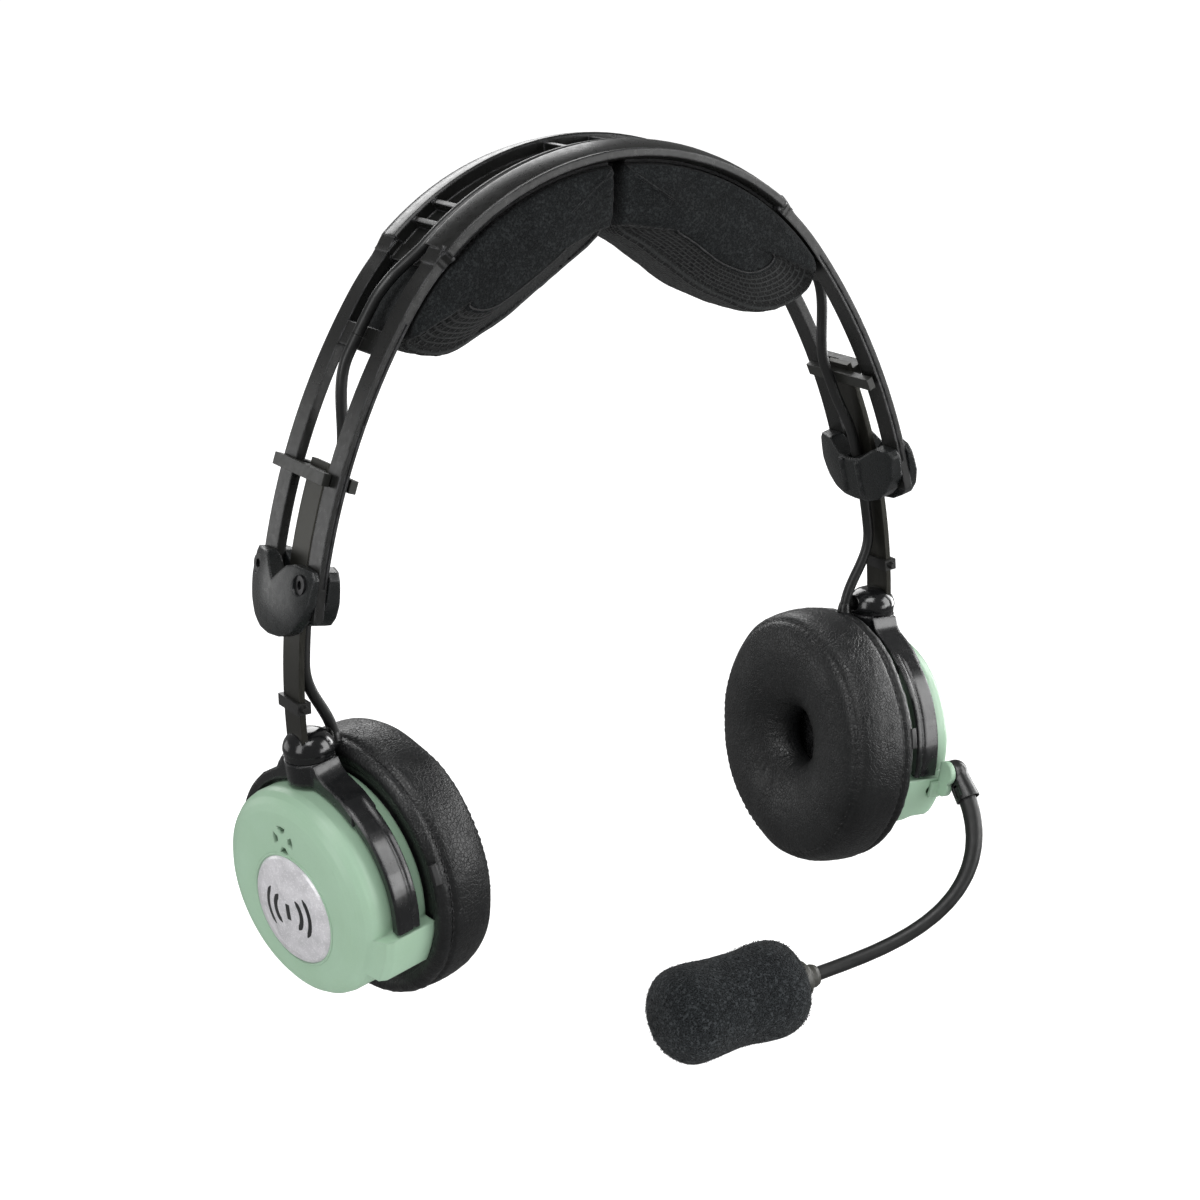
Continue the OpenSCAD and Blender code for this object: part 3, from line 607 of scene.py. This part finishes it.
def cushion(side, s):
    # the cover alone: an outer skin from the lip behind the base plate to the bottom of the ear hole, closed behind
    prof = CUSH
    P = smooth_curve([(-5.05, 26), (-6.9, 25.2), (-8.2, 15), (-8.9, 10.2)] + CUSH[14:], 150, closed=True, rounds=1)
    nseg = 240
    m = len(P)
    # outward normals of the profile
    tn = np.roll(P, -1, 0) - np.roll(P, 1, 0)
    nr = np.stack([tn[:, 1], -tn[:, 0]], 1)
    nr /= np.linalg.norm(nr, axis=1)[:, None]
    cen = np.array([-14.0, 21.0])
    if np.mean(np.sum((P - cen) * nr, 1)) < 0:
        nr = -nr
    V, uv = [], []
    seed = 3.1 if s > 0 else 17.7
    for i in range(m):
        t, r = P[i]
        front = sm((-t - 17.0) / 3.5) * (1 if r > 7.5 else 0)
        face = sm((30.6 - r) / 3.0) * sm((-t - 15.5) / 2)
        wall = sm((r - 32.8) / 1.0) * sm((-t - 6.8) / 1.5) * sm((18.6 + t) / 1.5)
        skirt = sm((r - 30.8) / 0.8) * sm((t + 5.9) / 0.5)
        hole = sm((12.5 - r) / 4.0)
        seam_f = math.exp(-((t + 20.0) ** 2 + (r - 31.4) ** 2) / 1.3)
        seam_b = math.exp(-((t + 6.15) ** 2 + (r - 33.7) ** 2) / 1.0)
        for k in range(nseg):
            th = 2 * math.pi * k / nseg
            c, sn = math.cos(th), math.sin(th)
            y, z = r * sn, r * c
            d = 0.0
            # long soft lumps of the foam
            d += 0.30 * noise.noise(Vector((t / 9, y / 11, z / 11 + seed)))
            # radial gathers that run out from the ear hole
            ang = th + 0.35 * noise.noise(Vector((r / 9, c * 1.6, sn * 1.6 + seed)))
            gather = noise.noise(Vector((math.cos(ang) * 6.0, math.sin(ang) * 6.0, seed + r / 16)))
            gather += 0.6 * noise.noise(Vector((math.cos(ang) * 15.0, math.sin(ang) * 15.0, seed + 5 + r / 12)))
            reach = math.exp(-max(0, r - 9) / 7.5)
            low = 0.6 + 0.4 * max(0, -c)  # more of them below the hole
            d += face * 0.34 * gather * reach * low
            d += face * 0.05 * noise.noise(Vector((math.cos(ang) * 28.0, math.sin(ang) * 28.0, r / 10)))
            # fine creases across the side wall
            cr = noise.noise(Vector((c * 30 + seed, sn * 30, t / 1.1)))
            cr += 0.5 * noise.noise(Vector((c * 60, sn * 60 + seed, t / 0.8)))
            d += wall * 0.11 * cr
            # puckers at the two sewn seams
            d -= seam_f * (0.16 + 0.16 * math.cos(92 * th) + 0.1 * noise.noise(Vector((c * 9, sn * 9, seed))))
            d -= seam_b * (0.12 + 0.14 * math.cos(96 * th))
            # drawn skirt over the plate's rim
            sk = noise.noise(Vector((c * 16 + 3, sn * 16 + seed, t / 5)))
            sk += 0.5 * noise.noise(Vector((c * 34 + 3, sn * 34 + seed, t / 3)))
            d += skirt * 0.22 * sk
            tt, rr = t + nr[i][0] * d, r + nr[i][1] * d
            V.append((tt, rr * sn, rr * c))
            uv.append((th * 30, i * 0.5))
    V = to_row(V, s)
    F = [(i * nseg + k, i * nseg + (k + 1) % nseg, ((i + 1) % m) * nseg + (k + 1) % nseg, ((i + 1) % m) * nseg + k) for i in range(m) for k in range(nseg)]
    o = add_mesh("cushion_cover_" + side, V, F, [M["leather"]], "cup_" + side)
    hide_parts("cushion_" + side)
    # the two rows of stitches
    SV, SF = [], []

    def stitch(t, r, th, L, w, slant):
        c0 = np.array([t, r * math.sin(th), r * math.cos(th)])
        tang = np.array([0, math.cos(th), -math.sin(th)])
        axis = unit(tang * math.cos(slant) + np.array([1, 0, 0]) * math.sin(slant))
        up = np.array([0, math.sin(th), math.cos(th)])
        up = unit(up - (up @ axis) * axis)
        side_v = np.cross(axis, up)
        b = len(SV)
        rows, cols = 5, 6
        for i in range(rows):
            a = -1 + 2 * i / (rows - 1)
            rr = w * math.sqrt(max(0.05, 1 - a * a * 0.93))
            for k in range(cols):
                q = 2 * math.pi * k / cols
                SV.append(c0 + axis * a * L / 2 + (up * math.cos(q) + side_v * math.sin(q)) * rr - up * 0.28 * w * a * a)
        for i in range(rows - 1):
            for k in range(cols):
                SF.append((b + i * cols + k, b + i * cols + (k + 1) % cols, b + (i + 1) * cols + (k + 1) % cols, b + (i + 1) * cols + k))
        SF.append(tuple(b + k for k in range(cols))[::-1])
        SF.append(tuple(b + (rows - 1) * cols + k for k in range(cols)))

    rnd = random.Random(11 if s > 0 else 12)
    for k in range(92):
        stitch(-19.95 + rnd.uniform(-0.06, 0.06), 31.16, (k + 0.5) * 2 * math.pi / 92 + rnd.uniform(-0.004, 0.004), 1.4, 0.2, 0.22 + rnd.uniform(-0.08, 0.08))
    for k in range(96):
        stitch(-6.15 + rnd.uniform(-0.05, 0.05), 33.56, (k + 0.5) * 2 * math.pi / 96 + rnd.uniform(-0.004, 0.004), 1.5, 0.22, -0.2 + rnd.uniform(-0.08, 0.08))
    st = add_mesh("cushion_stitches_" + side, to_row(SV, s), SF, [M["thread"]], "cup_" + side)


def foam_disc(name, side, s, t0, t1, r0, node):
    prof = [(t1, 0.01), (t1, r0 * 0.35), (t1, r0 * 0.7), (t1, r0 - 0.7), ((t0 + t1) / 2, r0), (t0, r0 - 0.7), (t0, r0 * 0.5), (t0, 0.01)]
    P = resample(prof, 40)
    V, F, n = [], [], 64
    for i, (t, r) in enumerate(P):
        for k in range(n):
            th = 2 * math.pi * k / n
            d = 0.10 * noise.noise(Vector((t, r * math.sin(th) / 1.5, r * math.cos(th) / 1.5)))
            V.append((t + d * (1 if t > (t0 + t1) / 2 else -1) * 0.8 - 0, (r) * math.sin(th), (r) * math.cos(th)))
    for i in range(len(P) - 1):
        for k in range(n):
            F.append((i * n + k, i * n + (k + 1) % n, (i + 1) * n + (k + 1) % n, (i + 1) * n + k))
    F.append(tuple(range(n))[::-1]); F.append(tuple((len(P) - 1) * n + k for k in range(n)))
    o = add_mesh(name, to_row(V, s), F, [M["inner"]], "cup_" + side)
    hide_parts(node)


# ------------------------------------------------------------------ head pads
def pad_outline(s):
    top = [band_pt(a, PAD_H - 0.05, 0) for a in np.linspace(0.9, 54.8, 26)]
    top = [(p[0], p[2]) for p in top]
    bot = [(57.5, -37.3), (55.6, -40.1), (51.6, -41.6), (46.7, -42.3), (41.2, -41.4), (35, -38.5), (27.5, -34.9), (20, -31.1), (12, -26.9), (5, -22.8), (1.3, -20.2), (0.75, -17.5), (0.65, -10)]
    bot = [(x, z + APEX) for x, z in bot]
    return top, bot


def head_pad(side, s):
    top, bot = pad_outline(s)
    out = smooth_curve(top + bot, 220, closed=True, rounds=1)
    cen = np.array([28.5, APEX - 23.0])
    n = len(out)
    tan = np.roll(out, -1, 0) - np.roll(out, 1, 0)
    tan /= np.linalg.norm(tan, axis=1)[:, None]
    nor = np.stack([tan[:, 1], -tan[:, 0]], 1)
    if np.mean(np.sum((out - cen) * nor, 1)) < 0:
        nor = -nor
    arc = np.r_[0, np.cumsum(np.linalg.norm(np.roll(out, -1, 0) - out, axis=1))][:-1]
    w = 15.6
    # is this outline point on the sole (below) or on the top that lies against the band
    down = np.array([sm((-nor[i][1] + 0.15) / 0.5) for i in range(n)])
    # the wearer's left pad hangs a little deeper at its outer end
    deep = np.array([(4.2 if s > 0 else 0.8) * down[i] * sm((out[i][0] - 6) / 26) for i in range(n)])
    # rows from one side's centre, over the sole, to the other side's centre: (kind, y, inset or scale)
    rows = []
    scales = [0.02, 0.18, 0.36, 0.54, 0.70, 0.82, 0.90, 0.955]
    for q in scales:
        rows.append(("side", -1, q))
    edge = [(-w + 0.15, 1.0), (-w + 0.75, 0.35), (-w + 1.35, 0.42), (-w + 2.1, 0.06)]
    body_y = list(np.linspace(-w + 3.2, w - 3.2, 30))
    for y, ins in edge:
        rows.append(("edge", y, ins))
    for y in body_y:
        rows.append(("body", y, 0.0))
    for y, ins in edge[::-1]:
        rows.append(("edge", -y, ins))
    for q in scales[::-1]:
        rows.append(("side", 1, q))
    V, uv = [], []
    seed = 1.3 if s > 0 else 9.7
    for kind, y, q in rows:
        for i in range(n):
            o = out[i]
            if kind == "side":
                p = cen + (o - nor[i] * 1.9 - cen) * q
                yy = y * (w - 0.35 + 0.85 * (1 - q * q) ** 0.8 - 5.2 * down[i] * sm((q - 0.38) / 0.62))
                p = p + nor[i] * deep[i] * q
                d = 0.28 * noise.noise(Vector((p[0] / 6, seed + y, p[1] / 6))) + 0.10 * noise.noise(Vector((p[0] / 1.6, seed + y, p[1] / 1.6)))
                yy += y * d
            else:
                ins = q if kind == "edge" else 0.0
                crown = 0.75 * (1 - (y / w) ** 2) * down[i] - 0.75 * down[i]
                lump = (0.35 * noise.noise(Vector((o[0] / 9, y / 9, o[1] / 9 + seed))) + 0.12 * noise.noise(Vector((o[0] / 2.2, y / 2.2, o[1] / 2.2)))) * down[i]
                p = o - nor[i] * (ins * (0.6 + 0.9 * down[i])) + nor[i] * (crown + lump - 0.1)
                yy = y * (1 - 5.2 / w * down[i])
                p = p + nor[i] * deep[i]
            V.append((s * p[0], yy, p[1]))
            uv.append((arc[i], yy if kind != "side" else y * (w + 20 * (1 - q))))
    R = len(rows)
    F, fm = [], []
    for r in range(R - 1):
        for i in range(n):
            j = (i + 1) % n
            F.append((r * n + i, r * n + j, (r + 1) * n + j, (r + 1) * n + i))
            mid = 0.5 * (abs(V[r * n + i][1]) + abs(V[(r + 1) * n + i][1]))
            wrap = rows[r][0] != "side" or rows[r][2] >= 0.5
            wrap = wrap and (rows[r + 1][0] != "side" or rows[r + 1][2] >= 0.5)
            fm.append(1 if (down[i] > 0.5 and wrap) else 0)
    F.append(tuple(range(n))[::-1]); fm.append(0)
    F.append(tuple((R - 1) * n + i for i in range(n))); fm.append(0)
    o = add_mesh("head_pad_cover_" + side, V, F, [M["velour"], M["knit"]], "headband", fm, uv)
    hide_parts("head_pad_" + side)
    # short pile that stands out of the velour along its edges and faces
    rnd = random.Random(21 if s > 0 else 22)
    FV, FF = [], []
    for _ in range(5200):
        i = rnd.randrange(n)
        y = rnd.choice((-1, 1))
        q = math.sqrt(rnd.uniform(0.0, 1.0))
        if rnd.random() < 0.45:
            q = rnd.uniform(0.93, 1.0)
        p = cen + (out[i] - nor[i] * (1.9 if q < 0.93 else 0.9) - cen) * q
        if (q >= 0.93 and nor[i][1] > 0.55) or (q > 0.5 and down[i] > 0.5):
            continue
        p = p + nor[i] * deep[i] * q
        base = np.array([s * p[0], y * (w - 0.45 + 0.85 * (1 - min(1, q) ** 2) ** 0.8 - 5.2 * down[i] * sm((q - 0.38) / 0.62)), p[1]])
        ndir = np.array([s * nor[i][0] * (0.9 if q > 0.93 else 0.1), y * (0.5 if q > 0.93 else 1.0), nor[i][1] * (0.9 if q > 0.93 else 0.1)])
        ndir = unit(ndir + np.array([rnd.uniform(-0.7, 0.7) for _ in range(3)]))
        L = rnd.uniform(0.25, 0.75)
        sd = unit(np.cross(ndir, [rnd.uniform(-1, 1), rnd.uniform(-1, 1), rnd.uniform(-1, 1)])) * 0.035
        b = len(FV)
        mid = base + ndir * L * 0.55 + sd * rnd.uniform(-3, 3)
        tip = base + ndir * L + np.array([rnd.uniform(-0.2, 0.2) for _ in range(3)])
        th3 = np.cross(ndir, unit(sd)) * 0.035
        FV += [base - sd, base + sd, base + th3, mid - sd * 0.7, mid + sd * 0.7, mid + th3 * 0.7, tip]
        FF += [(b, b + 1, b + 4, b + 3), (b + 1, b + 2, b + 5, b + 4), (b + 2, b, b + 3, b + 5), (b + 3, b + 4, b + 6), (b + 4, b + 5, b + 6), (b + 5, b + 3, b + 6), (b, b + 2, b + 1)]
    fz = add_mesh("head_pad_pile_" + side, FV, FF, [M["velour"]], "headband", recalc=False)
    # seam bead where the sole meets each side panel
    for tag, y in (("front", -1), ("rear", 1)):
        idx = [i for i in range(n) if down[i] > 0.5]
        # rotate so that the run is contiguous
        cut = next((k for k in range(len(idx)) if (idx[k] - idx[k - 1]) % n != 1), 0)
        idx = idx[cut:] + idx[:cut]
        path = []
        for i in idx:
            q2 = cen + (out[i] - nor[i] * 1.9 - cen) * 0.5 + nor[i] * deep[i] * 0.5
            path.append((s * q2[0], y * (w - 0.28 + 0.85 * 0.75 ** 0.8 - 5.2 * down[i] * sm(0.12 / 0.62)), q2[1]))
        if len(path) > 8:
            b = add_tube("head_pad_seam_" + tag + "_" + side, resample(path, 160), 0.22 + 0.06 * np.sin(np.arange(160) * 1.9), M["thread"], "headband", 8)


# ------------------------------------------------------------------ microphone windscreen, boom
def bez_n(ctrl, t):
    c = [np.asarray(q, float) for q in ctrl]
    while len(c) > 1:
        c = [(1 - t) * c[k] + t * c[k + 1] for k in range(len(c) - 1)]
    return c[0]


BOOM_AT = np.array([12.8, -31.8, -3.6])
MIC_DIR = unit([-1, 0.08, -0.02])
MIC_BASE = np.array([34.0, -38.0, -46.3])
BOOM_OUT = unit([-0.03, -0.68, -0.73])
BOOM_ROOT = to_row([BOOM_AT], 1)[0]
BOOM_CTL = [BOOM_ROOT + 4.4 * BOOM_OUT, BOOM_ROOT + 15 * BOOM_OUT, (85.3, -49.3, -29.0), (73.2, -47.4, -40.8), (53.8, -39.3, -44.9), MIC_BASE]


def windscreen():
    ax = MIC_DIR
    u = unit(np.cross(ax, [0, 1, 0])); v = np.cross(ax, u)
    org = MIC_BASE + 4.6 * ax
    pts = [(0.35, 4.4), (0.2, 7.0), (0.7, 9.2), (2.2, 11.0), (4.8, 12.2), (8.5, 12.75), (12.5, 12.5), (17, 11.95), (21, 11.8), (25, 12.1), (29.5, 12.75),
           (33.5, 12.7), (37, 11.3), (39.6, 8.6), (41.1, 5.0), (41.6, 1.6), (41.62, 0.02)]
    P = smooth_curve(pts, 90, rounds=2)
    n = 128
    V, F = [], []
    for i, (h, r) in enumerate(P):
        for k in range(n):
            th = 2 * math.pi * k / n
            c, sn = math.cos(th), math.sin(th)
            q = Vector((h / 7, r * c / 7, r * sn / 7))
            d = 0.32 * noise.noise(q) + 0.07 * noise.noise(Vector((h * 1.7, r * c * 1.7, r * sn * 1.7)))
            fade = min(1.0, r / 3.0)
            rr = r + d * fade
            V.append(org + ax * (h) + u * rr * c + v * rr * sn)
    for i in range(len(P) - 1):
        for k in range(n):
            F.append((i * n + k, i * n + (k + 1) % n, (i + 1) * n + (k + 1) % n, (i + 1) * n + k))
    F.append(tuple((len(P) - 1) * n + k for k in range(n)))
    F.append(tuple(range(n))[::-1])
    o = add_mesh("windscreen_foam", V, F, [M["foam"]], "boom")
    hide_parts("windscreen")
    # loose grains of foam that break up the outline
    rnd = random.Random(5)
    GV, GF = [], []
    for _ in range(5200):
        i = rnd.randrange(1, len(P) - 2); th = rnd.uniform(0, 2 * math.pi)
        h, r = P[i]
        h += rnd.uniform(-0.3, 0.3)
        c0 = org + ax * h + (u * math.cos(th) + v * math.sin(th)) * (r + rnd.uniform(-0.02, 0.12))
        sz = rnd.uniform(0.10, 0.22)
        b = len(GV)
        for dx in ((1, 0, 0), (0, 1, 0), (0, 0, 1), (-1, 0, 0), (0, -1, 0), (0, 0, -1)):
            GV.append(c0 + np.array(dx) * sz * rnd.uniform(0.6, 1.2))
        GF += [(b, b + 1, b + 2), (b + 1, b + 3, b + 2), (b + 3, b + 4, b + 2), (b + 4, b, b + 2), (b + 1, b, b + 5), (b + 3, b + 1, b + 5), (b + 4, b + 3, b + 5), (b, b + 4, b + 5)]
    g = add_mesh("windscreen_grain", GV, GF, [M["foam"]], "boom", smooth=False, recalc=False)


def boom():
    pts = [bez_n(BOOM_CTL, k / 110) for k in range(111)]
    r = [2.0 * (1.22 - 0.3 * sm(k / 110 * 52 / 34)) + 0.012 * math.sin(k * 0.9) for k in range(111)]
    o = add_tube("boom_tube_rubber", pts, np.array(r), M["boom"], "boom", 32)
    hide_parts("boom_tube")


# ------------------------------------------------------------------ cables
def cab_h(a):
    if a < 46: return 0.4
    if a < 58.6: return 0.4 + 1.05 * sm((a - 46) / 8)
    if a < 67.4: return 1.45 - 8.35 * sm((a - 58.6) / 8.6)
    if a < 69.6: return -6.9
    return -6.9 + 1.6 * sm((a - 69.6) / 5.4)


def cab_y(a):
    if a < 40: return -5.0
    if a < 57: return -5 + 3.5 * sm((a - 40) / 9)
    return -1.5 + 1.5 * sm((a - 57) / 9)


def cables():
    cross = [band_pt(a, cab_h(abs(a)), cab_y(abs(a)), 1 if a >= 0 else -1) for a in np.linspace(-57, 57, 260)]
    o = add_tube("cross_cable_jacket", cross, CAB_R, M["cable"], "headband", 20)
    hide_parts("cross_cable")
    for side, s in SIDES:
        a_pts = [band_pt(a, cab_h(a), cab_y(a), s) for a in np.linspace(57.06, 84.5, 110)]
        b0 = np.array(a_pts[-1])
        e = to_row([[-4.0, 0.8, 34.0]], s)[0]
        e_in = to_row([[-4.0, 0.8, 33.2]], s)[0]
        d = -unit(cup_dir([0, 0, -1], s))
        t0 = np.array([s * math.cos(rad(84.5)), 0, -math.sin(rad(84.5))])
        P = [b0, b0 + 9 * t0, e + 9 * d, e]
        bz = lambda t: (1 - t) ** 3 * P[0] + 3 * t * (1 - t) ** 2 * P[1] + 3 * t * t * (1 - t) * P[2] + t ** 3 * P[3]
        up = [bz(t) for t in np.linspace(0, 0.52, 30)]
        dn = [bz(t) for t in np.linspace(0.52, 1, 30)]
        A = add_tube("cable_lead_upper_" + side, a_pts, CAB_R, M["cable"], None, 20)
        B = add_tube("cable_lead_lower_" + side, up, CAB_R, M["cable"], None, 20)
        C = add_tube("cable_lead_end_" + side, dn + [e_in], CAB_R, M["cable"], None, 20)
        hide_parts("cable_lead_" + side)
        run = sum(np.linalg.norm(np.array(a_pts[k + 1]) - a_pts[k]) for k in range(len(a_pts) - 1))
        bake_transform(A)
        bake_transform(B)
        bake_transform(C)
        # moulded sleeve where the lead goes into the cup
        sl = [e + d * k for k in np.linspace(-0.5, 2.3, 14)]
        rr = [2.05, 2.1, 2.0, 2.05, 1.85, 1.95, 1.8, 1.88, 1.72, 1.78, 1.64, 1.66, 1.56, 1.5]
        S = add_tube("lead_sleeve_" + side, sl, np.array(rr) * 0.93, M["collar"], "cup_" + side, 20)


# ------------------------------------------------------------------ generic mark on the badge
def badge_mark(side, s):
    def surf(r):
        return np.interp(r, [0, 7, 11.5, 13.4], [17.7, 17.5, 17.0, 16.5]) + 0.035

    def flat(name, loops, mat):
        """loops: lists of quads given as rows of (y, z) pairs, laid on the domed badge"""
        V, F = [], []
        for strip in loops:
            b = len(V)
            for (p, q) in strip:
                for (y, z), lift in ((p, 0.0), (q, 0.0)):
                    V.append((surf(math.hypot(y, z)) + 0.0, y, z - 3.2))
                for (y, z) in (p, q):
                    V.append((surf(math.hypot(y, z)) - 0.12, y, z - 3.2))
            m = len(strip)
            for i in range(m - 1):
                o = b + 4 * i
                F += [(o, o + 4, o + 5, o + 1), (o + 2, o + 3, o + 7, o + 6), (o, o + 2, o + 6, o + 4), (o + 1, o + 5, o + 7, o + 3)]
            F += [(b, b + 1, b + 3, b + 2), (b + 4 * (m - 1), b + 4 * (m - 1) + 2, b + 4 * (m - 1) + 3, b + 4 * (m - 1) + 1)]
        ob = add_mesh(name, to_row(V, s), F, [mat], "cup_" + side, smooth=False)

    def arc_strip(cy, cz, r0, r1, a0, a1, n=24):
        out = []
        for k in range(n + 1):
            a = rad(a0 + (a1 - a0) * k / n)
            taper = min(1.0, 6.0 * min(k, n - k) / n + 0.25)
            rm, hw = (r0 + r1) / 2, (r1 - r0) / 2 * taper
            out.append(((cy + (rm - hw) * math.cos(a), cz + (rm - hw) * math.sin(a)), (cy + (rm + hw) * math.cos(a), cz + (rm + hw) * math.sin(a))))
        return out

    def bar(y0, z0, y1, z1, w, n=8):
        d = unit([y1 - y0, z1 - z0]); q = np.array([-d[1], d[0]]) * w / 2
        return [((y0 + (y1 - y0) * k / n + q[0], z0 + (z1 - z0) * k / n + q[1]), (y0 + (y1 - y0) * k / n - q[0], z0 + (z1 - z0) * k / n - q[1])) for k in range(n + 1)]

    # nested sound arcs about a short upright bar, centred on the badge
    arcs = [bar(0.0, -2.1, 0.0, 2.1, 1.5), arc_strip(0, 0, 4.3, 5.7, -50, 50), arc_strip(0, 0, 4.3, 5.7, 130, 230),
            arc_strip(0, 0, 7.4, 8.6, -40, 40), arc_strip(0, 0, 7.4, 8.6, 140, 220)]
    flat("badge_mark_black_" + side, arcs, M["ink"])
    # raised rim that holds the badge
    V, F = [], []
    n, m = 96, 10
    for k in range(n):
        a = 2 * math.pi * k / n
        for j in range(m):
            q = 2 * math.pi * j / m
            r = 14.45 + 0.42 * math.cos(q)
            V.append((15.95 + 0.28 * math.sin(q), r * math.sin(a), r * math.cos(a) - 3.2))
    for k in range(n):
        for j in range(m):
            F.append((k * m + j, ((k + 1) % n) * m + j, ((k + 1) % n) * m + (j + 1) % m, k * m + (j + 1) % m))
    ob = add_mesh("badge_rim_" + side, to_row(V, s), F, [M["dome"]], "cup_" + side)


# ------------------------------------------------------------------ hook-and-loop edge under the crown's lip
def hook_edge():
    rnd = random.Random(31)
    V, F = [], []
    for _ in range(2600):
        s = rnd.choice((-1, 1)); y = rnd.choice((-1, 1)) * rnd.uniform(14.3, 15.3)
        a = rnd.uniform(1.5, 41)
        base = band_pt(a, -2.75 + rnd.uniform(-0.35, 0.35), y, s)
        nd = unit(np.array([rnd.uniform(-0.8, 0.8), math.copysign(1.0, y) * rnd.uniform(0.3, 1.0), rnd.uniform(-0.9, 0.3)]))
        L = rnd.uniform(0.3, 0.95)
        sd = unit(np.cross(nd, [rnd.uniform(-1, 1), rnd.uniform(-1, 1), rnd.uniform(-1, 1)])) * 0.045
        up = np.cross(nd, unit(sd)) * 0.045
        tip = base + nd * L
        b = len(V)
        V += [base - sd, base + sd, base + up, tip]
        F += [(b, b + 1, b + 3), (b + 1, b + 2, b + 3), (b + 2, b, b + 3), (b, b + 2, b + 1)]
    o = add_mesh("hook_tape_fibres", V, F, [M["hook"]], "headband", smooth=False, recalc=False)


for side, s in SIDES:
    cushion(side, s)
    foam_disc("ear_foam_disc_" + side, side, s, -7.35, -5.15, 15.6, "ear_foam_" + side)
    foam_disc("damping_foam_disc_" + side, side, s, 5.8, 11.4, 17.6, "damping_foam_" + side)
    head_pad(side, s)
    badge_mark(side, s)
windscreen()
boom()
cables()
hook_edge()

# ------------------------------------------------------------------ camera, floor and light
CAM = dict(az=-31.31, el=18.17, roll=-2.65, cx=-1.51, cz=54.58, D=631.89, f=2501.6)
a, e, r = rad(CAM["az"]), rad(CAM["el"]), rad(CAM["roll"])
back = np.array([math.sin(a) * math.cos(e), -math.cos(a) * math.cos(e), math.sin(e)])
right = np.array([math.cos(a), math.sin(a), 0.0])
up = np.cross(back, right)
R2 = right * math.cos(r) + up * math.sin(r)
U2 = -right * math.sin(r) + up * math.cos(r)
loc = (np.array([CAM["cx"], 0, CAM["cz"]]) + CAM["D"] * back) * MM
cam = bpy.data.cameras.new("view")
cam.lens = CAM["f"] / 1200 * 36
cam.sensor_width = 36
cam.clip_start = 0.02
cam.clip_end = 20
co = bpy.data.objects.new("view", cam)
bpy.context.scene.collection.objects.link(co)
co.matrix_world = Matrix([[R2[0], U2[0], back[0], loc[0]], [R2[1], U2[1], back[1], loc[1]], [R2[2], U2[2], back[2], loc[2]], [0, 0, 0, 1]])
bpy.context.scene.camera = co


def floor():
    a = Mat("studio_floor")
    n = a.noise(60, 2)
    a.color(a.ramp(n, [(0.3, (0.28, 0.28, 0.28)), (0.7, (0.31, 0.31, 0.31))]))
    a.rough(0.9)
    a.set(Emission_Color=(1, 1, 1, 1), Emission_Strength=1.0)
    z = -66.0
    half = 5000.0
    g = 24
    V = [(-half + 2 * half * i / g, -half + 2 * half * j / g, z) for i in range(g + 1) for j in range(g + 1)]
    F = [(i * (g + 1) + j, (i + 1) * (g + 1) + j, (i + 1) * (g + 1) + j + 1, i * (g + 1) + j + 1) for i in range(g) for j in range(g)]
    o = add_mesh("studio_floor", V, F, [a.m], None, recalc=False)
    o.visible_glossy = False


floor()


def area(name, loc, target, size, power, color=(1, 1, 1), shape="RECTANGLE", size_y=None):
    L = bpy.data.lights.new(name, "AREA")
    L.energy = power
    L.color = color
    L.shape = shape
    L.size = size
    L.size_y = size_y or size
    o = bpy.data.objects.new(name, L)
    bpy.context.scene.collection.objects.link(o)
    o.location = loc
    d = Vector(target) - Vector(loc)
    o.rotation_euler = d.to_track_quat("-Z", "Y").to_euler()
    return o


tgt = (0, 0, 0.05)
area("key_top", (-0.35, -0.35, 1.15), tgt, 0.75, 9.5)
area("side_left", (-1.05, -0.35, 0.45), tgt, 0.45, 3.8, size_y=0.9)
area("side_right", (0.88, -0.62, 0.36), tgt, 0.6, 8.5, size_y=0.9)
area("edge_right", (1.05, 0.12, 0.16), tgt, 0.4, 8.5, size_y=0.9)
area("front_low", (0.75, -1.2, 0.02), tgt, 0.6, 3.6, size_y=0.5)
area("rear_rim", (0.25, 0.95, 0.55), tgt, 0.6, 4.0)
area("rear_left", (-0.80, 0.95, 0.12), tgt, 0.8, 1.7, size_y=0.5)

world = bpy.data.worlds.new("studio")
bpy.context.scene.world = world
world.use_nodes = True
wt = world.node_tree
bg = wt.nodes["Background"]
bg.inputs["Color"].default_value = (1, 1, 1, 1)
bg.inputs["Strength"].default_value = 0.19
bg2 = wt.nodes.new("ShaderNodeBackground")
bg2.inputs["Color"].default_value = (1, 1, 1, 1)
bg2.inputs["Strength"].default_value = 1.6
lp = wt.nodes.new("ShaderNodeLightPath")
mx = wt.nodes.new("ShaderNodeMixShader")
wt.links.new(lp.outputs["Is Camera Ray"], mx.inputs[0])
wt.links.new(bg.outputs[0], mx.inputs[1])
wt.links.new(bg2.outputs[0], mx.inputs[2])
wt.links.new(mx.outputs[0], wt.nodes["World Output"].inputs["Surface"])
bpy.context.scene.view_settings.view_transform = "Standard"
